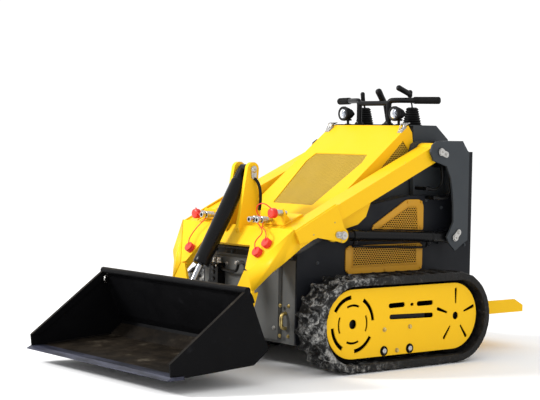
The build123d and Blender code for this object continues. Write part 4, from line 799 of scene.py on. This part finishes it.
class LOADER_OT_quick_couplers(bpy.types.Operator):
    """Flat-faced couplings on their brackets, with red dust caps on moulded straps"""
    bl_idname = "loader.quick_couplers"
    bl_label = "Quick couplers"

    def execute(self, context):
        steel, dark, caps, plates = Blank(), Blank(), Blank(), Blank()
        for x, z, front, rear, capped in COUPLERS:
            base = spot(x, front, z)
            length = rear - front
            steel.turned(base, (0, 1, 0), [(0, 8), (0, 12), (2, 13), (17, 13), (19, 11.4), (24, 11.4), (25, 14.4),
                                           (27, 15), (31, 15), (32, 14.2), (36, 14.2), (37, 15), (45, 15), (47, 12),
                                           (50, 12)], 28)
            steel.turned(base, (0, 1, 0), [(50, 14), (52, 15.4), (66, 15.4), (68, 14)], 6)
            steel.turned(base, (0, 1, 0), [(68, 10), (length, 10)], 20)
            dark.turned(base, (0, 1, 0), [(-0.4, 7.4), (4, 7.4)], 20)
            dark.turned(base, (0, 1, 0), [(20, 12), (23, 12)], 24)
            if capped:
                self.cap(caps, base, (0, 1, 0))
        for x, down in HANGING_CAPS:
            y, z = arch(down, 0.4)
            self.cap(caps, spot(x, y, z), (0, ARCH_DOWN[1], -ARCH_DOWN[0]))
        for low_x, high_x, top_z in ((128, 292, 706), (-292, -180, 682)):
            sheet = [(low_x, 634), (low_x, top_z - 14), (low_x + 14, top_z), (high_x - 14, top_z),
                     (high_x, top_z - 14), (high_x, 634)]
            plates.rings([[spot(x, y, z) for x, z in sheet] for y in (-216, -208)])
            for x in (low_x + 10, high_x - 10):
                plates.rings([[spot(x + dx, y, z) for y, z in ((-208, 640), (-208, 690), (-168, 652), (-168, 642))]
                              for dx in (-3, 3)])
        made = steel.make("coupler_bodies", "boom", "zinc", "zinc_steel", 0.3)
        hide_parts("quick_couplers")
        dark.make("coupler_faces", "boom", "shade", "boot_rubber")
        caps.make("coupler_caps", "boom", "red_plastic", "boot_rubber", smooth=30)
        plates.make("coupler_brackets", "boom", "yellow", "yellow_paint", 1.0)
        for count, points in enumerate(STRAPS, 1):
            tube(f"coupler_strap_{count}", points, 2.4, "boom", "red_plastic")
        return {"FINISHED"}

    def cap(self, caps, base, axis):
        """A ribbed dust cap from its mouth outwards or inwards along an axis."""
        profile = [(-3, 12), (-2, 18), (0, 21), (3, 22)]
        for i in range(4):
            profile += [(5 + i * 4, 22), (6 + i * 4, 20.8), (8 + i * 4, 20.8), (8.6 + i * 4, 22)]
        profile += [(22, 22), (24, 20), (24, 13)]
        caps.turned(base, axis, profile, 28)


class LOADER_OT_hydraulic_lines(bpy.types.Operator):
    """Hoses by the towers and the valve block on the front wall, with their ferrules"""
    bl_idname = "loader.hydraulic_lines"
    bl_label = "Hydraulic lines"

    def execute(self, context):
        block, steel = Blank(), Blank()
        runs = [(380, PANEL_FACE, (694, 893), (712, 748), (602, 748)),       # x, wall, top, corner and low end
                (358, TOWER_FACE, (676, 898), (680, 790), (574, 790))]
        ferrule = [(8, 9), (10, 9.6), (26, 9.6), (28, 8)]
        for name, side in HANDS:
            for count, (x, low_wall, top, corner, low) in enumerate(runs):
                way = [top, (corner[0] + 4, top[1] - 48), (corner[0] - 2, corner[1] + 12),
                       (corner[0] - 46, corner[1] - 9), low]
                tube(f"tower_hose_{name}_{count}", [(side * x, *place) for place in way], 7.5, "chassis",
                     "hose_rubber")
                for end, wall in ((top, TOWER_FACE), (low, low_wall)):
                    block.rod([spot(side * wall, *end), spot(side * (x + 9), *end)], 8.5, 16)
                    block.bolt(spot(side * (x - 16), *end), (side, 0, 0), 20, False)
                block.turned(spot(side * x, *low), (0, 1, 0), ferrule, 20)
                block.turned(spot(side * x, *top), (0, corner[0] - top[0] + 12, corner[1] - top[1]), ferrule, 20)
        tube("front_hose", [(-168, -213, 452), (-158, -214, 418), (-118, -217, 408), (-60, -217, 408), (-28, -217, 414),
                            (-22, -217, 450)], 7, "chassis", "hose_rubber")
        block.block((-218, -235, 318), (-150, -191.3, 438), 1.5)        # valve block, 0.3 mm off the raised plate
        for z in (336, 366, 396, 420):
            block.turned(spot(-184, -235, z), (0, -1, 0), [(0, 12), (1.5, 12), (2, 10)], 6)
        block.turned(spot(-218, -213, 350), (-1, 0, 0), [(0, 14), (6, 14), (10, 11), (20, 11), (22, 8)], 20)
        for x in (-200, -168):
            steel.turned(spot(x, -213, 437), (0, 0, 1), [(0, 12), (2, 13), (9, 13), (11, 10), (20, 9.6), (22, 8)], 6)
            steel.turned(spot(x, -213, 448), (0, 0, 1), [(0, 9), (2, 10), (14, 10), (16, 8)], 20)
        steel.rod([spot(-22, -191.3, 450), spot(-22, -225, 450)], 9.5, 16)
        steel.bolt(spot(-22, -225, 450), (0, -1, 0), 19, False)
        for x in (-208, -160):
            for z in (326, 428):
                steel.bolt(spot(x, -235, z), (0, -1, 0), 9, False)
        made = block.make("valve_block", "chassis", "black", "black_paint", 0.8)
        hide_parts("hydraulic_lines")
        steel.make("hose_fittings", "chassis", "zinc", "zinc_steel", 0.3)
        tube("tilt_hose_upper", [(34, -214, 838), (62, -200, 836), (82, -186, 800), (80, -176, 740), (66, -172, 690)],
             7, "boom", "hose_rubber")
        return {"FINISHED"}


# ---------------- pins, bolts and welds
class LOADER_OT_pin_heads(bpy.types.Operator):
    """Turned pin ends with grease nipples, and the bolts of their retainer plates"""
    bl_idname = "loader.pin_heads"
    bl_label = "Pin heads"

    def execute(self, context):
        size = context.scene.loader_fittings.bolt
        for body, pins in (
                ("chassis", [(420, (603, 960), (637, 948), 15), (420, LIFT_BASE, (730, 588), 14)]),
                ("boom", [(412, LIFT_EYE, (-12, 596), 16), (58, TILT_BASE, (-203, 840), 13)])):
            heads = Blank()
            for side in SIDES:
                for x, pin, tip, r in pins:
                    base = spot(side * (x + 5), *pin)
                    heads.turned(base, (side, 0, 0), [(0, r + 3), (2.5, r + 3), (3.5, r + 1), (3.6, r), (7.5, r),
                                                      (8.5, r - 1.5), (8.5, 4), (7.6, 3.4)], 32)
                    heads.turned(base, (side, 0, 0), [(7, 3), (11, 3), (12, 2), (12.6, 2.6), (14, 2), (14.4, 1)], 12)
                    heads.bolt(spot(side * (x + 6), *tip), (side, 0, 0), size * 0.9)
            heads.make(f"pin_heads_{body}", body, "zinc", "zinc_steel", 0.3)
        collars = Blank()
        for side in SIDES:
            for x, way in ((175, -1), (291, 1)):
                collars.turned(spot(side * (x + way), -405, 275), (side * way, 0, 0),
                               [(0, 22), (4, 22), (5, 20), (5, 15), (7.5, 14), (8, 10)], 28)
        collars.make("bucket_pin_collars", "boom", "zinc", "zinc_steel", 0.3)
        return {"FINISHED"}


class LOADER_OT_bolts(bpy.types.Operator):
    """Bolts of the covers, front wall, panels and arms, and hub caps of the track rollers"""
    bl_idname = "loader.bolts"
    bl_label = "Bolts and hub caps"

    def execute(self, context):
        size = context.scene.loader_fittings.bolt
        zinc, gold, grey, hubs, rings = Blank(), Blank(), Blank(), Blank(), Blank()
        for side in SIDES:
            for y, z in ((187, 180), (343, 184), (265, 84)):
                gold.bolt(spot(side * COVER_FACE, y, z), (side, 0, 0), size)
            for y, z in ROLLER_HUBS:
                centre = spot(side * COVER_FACE, y, z)
                hubs.turned(centre, (side, 0, 0), [(-3, 12), (6, 12), (8, 10), (9, 6), (7, 3)], 28)
                rings.turned(centre, (side, 0, 0), [(-3, 21), (3, 21), (4.5, 19.5), (4.5, 16), (1, 14), (-3, 13.5)], 28)
                for turn in range(4):
                    angle = turn * pi / 2
                    hubs.bolt(spot(side * (COVER_FACE + 1), y + 16 * cos(angle), z + 16 * sin(angle)), (side, 0, 0), 6,
                              False)
            for y, z in ((-60, 470), (600, 735), (860, 930), (860, 140), (-140, 140), (700, 700), (860, 520)):
                grey.bolt(spot(side * PANEL_FACE, y, z), (side, 0, 0), size * 0.8)
            for z in (150, 282):
                for x, y in ((284, WALL_FACE), (246, PLATE_FACE)):
                    gold.bolt(spot(side * x, y, z), (0, -1, 0), size * 0.8)
            for x, z in ((140, 436), (205, 180), (60, 180)) + (((208, 436),) if side > 0 else ()):
                zinc.bolt(spot(side * x, PLATE_FACE, z), (0, -1, 0), size * 0.9)
            for x in (120, 240, 300):
                grey.bolt(spot(side * x, WALL_FACE, 494), (0, -1, 0), size * 0.8)
            for y, z in ((-30, 650), (10, 566), (-150, 600)):
                gold.turned(spot(side * 412, y, z), (side, 0, 0), [(0, 4), (1.2, 3.4)], 12)
        zinc.make("front_wall_bolts", "chassis", "zinc", "zinc_steel", 0.2)
        gold.make("cover_bolts", "chassis", "gold_zinc", "gold_zinc", 0.2)
        grey.make("panel_bolts", "chassis", "tower_grey", "dark_grey_paint", 0.2)
        hubs.make("roller_hub_caps", "chassis", "zinc", "zinc_steel", 0.2)
        rings.make("roller_seal_rings", "chassis", "shade", "black_plastic", 0.2)
        return {"FINISHED"}


def slot_outline(start, end, start_half, end_half):
    """Rounded outline of a straight slot, which may widen from start to end."""
    along = (Vector(end) - Vector(start)).normalized()
    points = []
    for centre, half in ((start, -start_half), (end, end_half)):
        for k in range(25):
            turn = Matrix.Rotation(radians(-90 + 7.5 * k), 2) @ along
            points.append(Vector(centre) + turn * half)
    return points


def arc_outline(centre, radius, half, start, span):
    """Outline of a curved slot; its angles in degrees."""
    turns = [radians(start + span * k / 12) for k in range(13)]
    ring = [(radius + half, t) for t in turns] + [(radius - half, t) for t in reversed(turns)]
    return [Vector((centre[0] + r * cos(t), centre[1] + r * sin(t))) for r, t in ring]


class LOADER_OT_track_covers(bpy.types.Operator):
    """Slotted sheets over the tracks"""
    bl_idname = "loader.track_covers"
    bl_label = "Track covers"

    def execute(self, context):
        outlines = [slot_outline(*COVER_CENTRES, 151, 151)]
        front = COVER_CENTRES[0]
        for radius, half, first, span in ((118, 9, 5, 55), (82, 5, 65, 50)):
            outlines += [arc_outline(front, radius, half, first + 90 * k, span) for k in range(4)]
        for start, end, half in (((222, 283), (300, 284), 11), ((395, 283), (476, 283), 11),
                                 ((351, 282), (358, 282), 7), ((228, 233), (478, 227), 11)):
            outlines.append(slot_outline(start, end, half, half))
        for turn in (90, 18, -54, -126, 162):
            way = Vector((cos(radians(turn)), sin(radians(turn))))
            outlines.append(slot_outline(Vector(FAN_CENTRE) + way * 60, Vector(FAN_CENTRE) + way * 120, 5, 8))
        for centre, radius in ((front, 21), (FAN_CENTRE, 18), *((hub, 22) for hub in ROLLER_HUBS)):
            outlines.append([Vector(centre) + Vector((cos(k * pi / 14), sin(k * pi / 14))) * radius for k in range(28)])
        drawing = bpy.data.curves.new("cover_drawing", "CURVE")
        drawing.dimensions = "2D"
        drawing.fill_mode = "BOTH"
        drawing.extrude = 2.5
        for outline in outlines:
            line = drawing.splines.new("POLY")
            line.points.add(len(outline) - 1)
            for point, place in zip(line.points, outline):
                point.co = (place.x, place.y, 0, 1)
            line.use_cyclic_u = True
        holder = placed("cover_drawing", drawing)
        sheet = bpy.data.meshes.new_from_object(holder)
        work = bmesh.new()
        work.from_mesh(sheet)
        bmesh.ops.remove_doubles(work, verts=work.verts, dist=0.01)
        work.to_mesh(sheet)
        work.free()
        for name, side in HANDS:
            cover = Blank()
            cover.add([spot(side * (COVER_FACE - 2.5 + v.co.z), v.co.x, v.co.y) for v in sheet.vertices],
                      [tuple(face.vertices) for face in sheet.polygons])
            made = cover.make(f"track_cover_sheet_{name}", "chassis", "yellow", "yellow_paint")
            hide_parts(f"track_cover_{name}")
        bpy.data.meshes.remove(sheet)
        bpy.data.objects.remove(holder)
        bpy.data.curves.remove(drawing)
        return {"FINISHED"}


class LOADER_OT_cylinder_fittings(bpy.types.Operator):
    """Outer tube and glands of the cylinders, with their ports"""
    bl_idname = "loader.cylinder_fittings"
    bl_label = "Cylinder fittings"

    def execute(self, context):
        def line_of(x, foot, tip):
            """A cylinder's base, direction and length in millimetres."""
            base, eye = spot(x, *foot), spot(x, *tip)
            return base, (eye - base).normalized(), (eye - base).length / MM

        base, ahead, run = line_of(0, TILT_BASE, TILT_EYE)
        sleeve = Blank()
        sleeve.turned(base, ahead, [(58, 30), (62, 34.5), (70, 36.4), (run - 150, 36.4), (run - 149, 37.2),
                                    (run - 116, 37.2), (run - 112, 35), (run - 110, 24)], 48)
        sleeve.turned(base + ahead * 0.034, Vector((0, -ahead.z, ahead.y)), [(22, 14), (40, 14), (42, 12)], 20)
        sleeve.make("tilt_cylinder_sleeve", "tilt_barrel", "black", "black_paint", smooth=40)
        for name, side in HANDS:
            base, ahead, run = line_of(side * LIFT_X, LIFT_BASE, LIFT_EYE)
            gland = Blank()
            gland.turned(base, ahead, [(run - 92, 24), (run - 86, 24), (run - 84, 20), (run - 50, 20), (run - 47, 18.5),
                                       (run - 47, 15)], 36)
            gland.turned(base, ahead, [(96, 25.4), (98, 26.2), (118, 26.2), (120, 25.4)], 36)
            gland.make(f"lift_cylinder_gland_{name}", f"lift_barrel_{name}", "black", "black_paint", smooth=40)
            port = Blank()
            for along in (124, 580):
                port.turned(base + ahead * along * MM, (0, 0, -1), [(22, 11), (32, 11), (33, 9), (40, 9), (42, 6)], 16)
            port.make(f"lift_cylinder_ports_{name}", f"lift_barrel_{name}", "black", "black_paint", 0.3)
        return {"FINISHED"}


class LOADER_OT_boom_sheets(bpy.types.Operator):
    """Smooth outer sheets of the boom's legs"""
    bl_idname = "loader.boom_sheets"
    bl_label = "Boom leg sheets"

    def execute(self, context):
        sheet = Blank()
        for side in SIDES:
            places = [(401, -252, 625), (245, -374.5, 441), (288, -386, 361), (301, -379, 364), (356, -332, 440),
                      (401.5, -306, 481.5), (401.5, -216, 539), (401.5, -226, 566)]
            sheet.add([spot(side * x, y, z) for x, y, z in places],
                      [(0, 1, 2), (0, 2, 3), (0, 3, 4), (0, 4, 5), (0, 5, 6, 7)])
        made = sheet.make("boom_leg_sheets", "boom", "yellow", "yellow_paint", smooth=20)
        thick = made.modifiers.new("thick", "SOLIDIFY")
        thick.thickness = 2 * MM
        thick.offset = 0
        return {"FINISHED"}


def bead(blank, start, end, width=4.5, step=3.0):
    """A rippled weld bead between two points in metres."""
    run = end - start
    count = max(2, int(run.length / MM / step))
    across, up = frame_of(run)[1:]
    rings = []
    for i in range(count + 1):
        radius = width * (0.78 + 0.22 * (i % 2)) * (0.3 if i in (0, count) else 1)
        rings.append(circle(start + run * (i / count), across, up, radius, 8))
    blank.rings(rings)


class LOADER_OT_welds(bpy.types.Operator):
    """Weld beads of the boom, the bucket and the coupler"""
    bl_idname = "loader.welds"
    bl_label = "Weld beads"

    def execute(self, context):
        boom, bucket = Blank(), Blank()
        for side in SIDES:
            for a, b in (((-250, 615), (-15, 728)), ((-15, 728), (35, 603)), ((-226, 565), (-126, 586))):
                bead(boom, spot(side * 400.5, *a), spot(side * 400.5, *b))
            for x in (38, 58):
                bead(boom, spot(side * x, -282, 614), spot(side * x, -262, 562), 3.5)
            bead(boom, spot(side * 300, -246, 626.5), spot(side * 300, -120, 682), 3.5)
            for a, b in (((-900, 75), (-563, 97)), ((-563, 97), (-500, 142)), ((-517, 190), (-592, 366))):
                bead(bucket, spot(side * 525.5, *a), spot(side * 525.5, *b), 4)
        boom.make("boom_welds", "boom", "yellow", "yellow_paint", smooth=60)
        bucket.make("bucket_welds", "bucket", "bucket_black", "black_paint", smooth=60)
        return {"FINISHED"}


# ---------------- tracks
TREAD_VOXEL = 0.0055                            # metres


def worn_surface(node, depth, seed):
    """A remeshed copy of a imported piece, its skin torn and packed inwards only."""
    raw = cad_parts[node].data.copy()
    piece = placed(f"{node}_tread", raw)
    remesh = piece.modifiers.new("skin", "REMESH")
    remesh.mode = "VOXEL"
    remesh.voxel_size = TREAD_VOXEL
    depsgraph = bpy.context.evaluated_depsgraph_get()
    skinned = bpy.data.meshes.new_from_object(piece.evaluated_get(depsgraph))
    piece.modifiers.clear()
    piece.data = skinned
    bpy.data.meshes.remove(raw)
    work = bmesh.new()
    work.from_mesh(skinned)
    bmesh.ops.smooth_vert(work, verts=work.verts, factor=0.5, use_axis_x=True, use_axis_y=True, use_axis_z=True)
    work.normal_update()
    moves = []
    for vert in work.verts:
        place = vert.co
        coarse = ripple.noise(place * 26 + seed) * 0.5 + 0.5
        fine = ripple.noise(place * 75 + seed) * 0.5 + 0.5
        front = min(1.0, max(0.0, (0.05 - place.y) / 0.2))
        rim = max(0.0, abs(vert.normal.x) - 0.5) * 2
        torn = (0.25 + 0.75 * front) * (1 - 0.7 * rim)
        moves.append(vert.normal * -depth * torn * (1.1 * max(0, coarse - 0.3) + 0.4 * fine))
    for vert, move in zip(work.verts, moves):
        vert.co += move
    work.to_mesh(skinned)
    work.free()
    for face in skinned.polygons:
        face.use_smooth = True
    wear(piece, "track_rubber")
    return piece


class LOADER_OT_tracks(bpy.types.Operator):
    """Rubber tracks with torn lugs and earth packed between them"""
    bl_idname = "loader.tracks"
    bl_label = "Tracks"

    def execute(self, context):
        depth = context.scene.loader_fittings.tread_wear
        for count, node in enumerate(("track_left", "track_right")):
            piece = worn_surface(node, depth, Vector((count * 7.0, 0, 0)))
            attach(piece, "chassis")
            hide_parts(node)
        return {"FINISHED"}


# ---------------- body
PANEL_DOWN = (0.781, -0.6247)                   # down the console's sloping rear face, as (y, z)


class LOADER_OT_body_fittings(bpy.types.Operator):
    """Deck pad, seams, rear vents, door latch, gauge panel and platform treads"""
    bl_idname = "loader.body_fittings"
    bl_label = "Body fittings"

    def execute(self, context):
        pad = Blank()
        for i in range(9):                              # ribbed rubber on the sloping front deck
            y0 = -160 + i * 11
            z0 = 512 + (y0 + 165) * 0.419
            pad.plate([(y0, z0 + 0.5), (y0 + 9, z0 + 4.3), (y0 + 8.4, z0 + 8), (y0 + 0.6, z0 + 4.6)], -170, 170)
        pad.make("deck_pad", "chassis", "shade", "boot_rubber", 0.6)
        seams, shade = Blank(), Blank()
        for side in SIDES:
            shade.plate([(430, 300), (433, 300), (433, 412), (430, 412)], side * PANEL_FACE, side * (PANEL_FACE + 0.5))
            # dark plate behind the vent louvres: painted shade of the openings
            shade.block((side * 176 - 46, REAR_FACE, 560), (side * 176 + 46, REAR_FACE + 0.6, 760))
            for i in range(8):
                z = 572 + i * 23
                seams.rings([[spot(side * 176 + dx, y, zz) for y, zz in
                              ((REAR_FACE, z), (914, z - 8), (916, z - 7), (906, z + 4))] for dx in (-48, 48)])
            for z in (300, 820):
                seams.turned(spot(side * 268, 910, z - 22), (0, 0, 1), [(0, 6), (2, 7), (42, 7), (44, 6)], 16)
                seams.block((side * 268 - 22, REAR_FACE, z - 18), (side * 268 + 22, 908, z + 18), 1)
        door = [(-262, 270), (262, 270), (262, 880), (-262, 880)]
        for ends in edges(door):
            shade.rod([spot(x, REAR_FACE, z) for x, z in ends], 2.2, 6)
        seams.make("rear_vents_and_hinges", "chassis", "tower_grey", "dark_grey_paint", 0.6)
        shade.make("panel_seams", "chassis", "shade", "black_plastic")
        latch = Blank()
        latch.turned(spot(0, REAR_FACE, 700), (0, 1, 0), [(0, 22), (3, 22), (4, 20), (4, 10), (12, 9)], 28)
        latch.block((-9, 915, 640), (9, 921, 712), 2)
        latch.make("rear_door_latch", "chassis", "zinc", "zinc_steel", 0.6)
        self.gauges()
        grip = Blank()
        for i in range(19):
            for k in range(11):
                x, y = -270 + i * 30, 952 + k * 34
                turn = 1 if (i + k) % 2 else -1
                ahead = Vector((0.7 * turn, 0.7, 0))
                across = Vector((-ahead.y, ahead.x, 0))
                grip.rings([[base + ahead * long + rise, base + across * wide + rise, base - ahead * long + rise,
                             base - across * wide + rise]
                            for base, long, wide, rise in ((spot(x, y, DECK), 0.012, 0.0035, Vector()),
                                                           (spot(x, y, DECK), 0.009, 0.0016, Vector((0, 0, 0.0022))))])
        grip.make("platform_treads", "platform", "yellow", "yellow_paint")
        return {"FINISHED"}

    def gauges(self):
        """Instrument panel on the console's sloping rear face."""
        def on_panel(u, s, off):
            """A point on the panel: u across, s down the slope, off its surface."""
            y = 730 + PANEL_DOWN[0] * s - PANEL_DOWN[1] * off
            return spot(u, y, 1082 + PANEL_DOWN[1] * s + PANEL_DOWN[0] * off)

        axis = (0, -PANEL_DOWN[1], PANEL_DOWN[0])
        plate, faces, button, needle = Blank(), Blank(), Blank(), Blank()
        plate.rings([[on_panel(u, s, off) for u, s in ((-200, 14), (200, 14), (200, 88), (-200, 88))]
                     for off in (0.2, 3)])
        for u in (-120, -40):
            plate.turned(on_panel(u, 51, 3), axis, [(0, 31), (4, 31), (7, 29), (7, 26), (3, 25)], 36)
            faces.turned(on_panel(u, 51, 3), axis, [(0, 25), (3.2, 25), (3.4, 2)], 36)
            for k in range(9):
                angle = radians(-30 + k * 30)
                needle.rod([on_panel(u + r * cos(angle), 51 - r * sin(angle), 6.6) for r in (18, 23)], 0.8, 6)
            needle.rod([on_panel(u, 51, 7), on_panel(u + 11, 38, 7)], 1.0, 6)
        button.turned(on_panel(150, 51, 3), axis, [(0, 12), (8, 12), (9, 19), (15, 20), (19, 17), (20.5, 8)], 32)
        for u in (40, 80, 115):
            plate.turned(on_panel(u, 51, 3), axis, [(0, 11), (3, 11), (4, 9), (4, 5), (11, 4.4)], 20)
        plate.make("gauge_panel", "chassis", "black_plastic", "black_plastic", 0.5)
        faces.make("gauge_faces", "chassis", "dial_white", "black_plastic")
        needle.make("gauge_marks", "chassis", "shade", "black_plastic")
        button.make("stop_button", "chassis", "red_plastic", "black_plastic", smooth=50)


class LOADER_OT_bucket_fittings(bpy.types.Operator):
    """Chain hook on the side of the bucket"""
    bl_idname = "loader.bucket_fittings"
    bl_label = "Bucket fittings"

    def execute(self, context):
        hook = Blank()
        bends = [(-512, -592, 372), (-508, -606, 366), (-506, -612, 352), (-508, -606, 340), (-512, -594, 336)]
        hook.rod(flowing([spot(*bend) for bend in bends], 6), 4.5)
        hook.turned(spot(*bends[0]), (0, -1, 0.2), [(-4, 9), (0, 9), (3, 8)], 16)
        hook.make("bucket_chain_hook", "bucket", "zinc", "zinc_steel", smooth=60)
        return {"FINISHED"}


# ---------------- studio
FLOOR = 60                                      # half the floor's width, in metres


def area_light(name, place, aim, size, power):
    """A white light of that (width, height), aimed at a point; in metres and watts."""
    lamp = bpy.data.lights.new(name, "AREA")
    lamp.shape = "RECTANGLE"
    lamp.size, lamp.size_y = size
    lamp.energy = power
    holder = placed(name, lamp)
    holder.location = place
    holder.rotation_euler = (Vector(aim) - Vector(place)).to_track_quat("-Z", "Y").to_euler()


class LOADER_OT_studio(bpy.types.Operator):
    """Set the pale floor, the light, the white surroundings and the camera"""
    bl_idname = "loader.studio"
    bl_label = "Studio"

    def execute(self, context):
        stage = context.scene.loader_stage
        camera = bpy.data.cameras.new("camera")
        camera.sensor_width = 36
        camera.lens = stage.lens
        camera.clip_end = 200
        holder = placed("camera", camera)
        ahead = Vector((-sin(stage.turn) * cos(stage.dip), cos(stage.turn) * cos(stage.dip), -sin(stage.dip)))
        across = Vector((cos(stage.turn), sin(stage.turn), 0))
        above = across.cross(ahead)
        right = cos(stage.roll) * across + sin(stage.roll) * above
        up = cos(stage.roll) * above - sin(stage.roll) * across
        holder.matrix_world = Matrix((
            (right.x, up.x, -ahead.x, stage.place[0]), (right.y, up.y, -ahead.y, stage.place[1]),
            (right.z, up.z, -ahead.z, stage.place[2]), (0, 0, 0, 1)))
        context.scene.camera = holder
        context.scene.view_settings.view_transform = "Standard"

        world = bpy.data.worlds.new("studio")
        world.use_nodes = True
        backdrop = world.node_tree.nodes["Background"]
        backdrop.inputs["Color"].default_value = (1, 1, 1, 1)
        backdrop.inputs["Strength"].default_value = stage.sky
        context.scene.world = world

        floor = bpy.data.meshes.new("floor")
        floor.from_pydata([(-FLOOR, -FLOOR, 0), (FLOOR, -FLOOR, 0), (FLOOR, FLOOR, 0), (-FLOOR, FLOOR, 0)], [],
                          [(0, 1, 2, 3)])
        ground = placed("floor", floor)
        made, tree, shader = material("pale_floor", (0.95, 0.95, 0.95), 0.95, specular=0.0)
        drive(tree, shader, "Base Color", noise(tree, 3.0), [(0.3, 0.945), (0.7, 0.955)])
        ground.data.materials.append(made)

        area_light("key", (-3.5, -6.0, 4.5), (0, 0, 0.5), (1.6, 1.6), stage.key)
        return {"FINISHED"}


# ---------------- panel and run
ORDER = [
    LOADER_OT_studio, LOADER_OT_finishes, LOADER_OT_hood_grilles, LOADER_OT_hood_fittings, LOADER_OT_side_screens,
    LOADER_OT_handlebar, LOADER_OT_levers, LOADER_OT_lamps, LOADER_OT_quick_couplers, LOADER_OT_hydraulic_lines,
    LOADER_OT_track_covers, LOADER_OT_cylinder_fittings, LOADER_OT_boom_sheets, LOADER_OT_pin_heads, LOADER_OT_bolts,
    LOADER_OT_welds, LOADER_OT_tracks, LOADER_OT_body_fittings, LOADER_OT_bucket_fittings]


class LOADER_PT_parts(bpy.types.Panel):
    """Lists the steps that dress the loader"""
    bl_label = "Track loader"
    bl_space_type = "VIEW_3D"
    bl_region_type = "UI"
    bl_category = "Loader"

    def draw(self, context):
        for step in ORDER:
            self.layout.operator(step.bl_idname)


GROUPS = {"loader_paint": LoaderPaint, "loader_stage": LoaderStage, "loader_fittings": LoaderFittings}
CLASSES = [*GROUPS.values(), *ORDER, LOADER_PT_parts]


def register():
    for cls in CLASSES:
        bpy.utils.register_class(cls)
    for name, group in GROUPS.items():
        setattr(bpy.types.Scene, name, PointerProperty(type=group))


def unregister():
    for name in GROUPS:
        delattr(bpy.types.Scene, name)
    for cls in reversed(CLASSES):
        bpy.utils.unregister_class(cls)


def main():
    register()
    for step in ORDER:
        group, name = step.bl_idname.split(".")
        getattr(getattr(bpy.ops, group), name)()


if __name__ == "__main__":
    main()
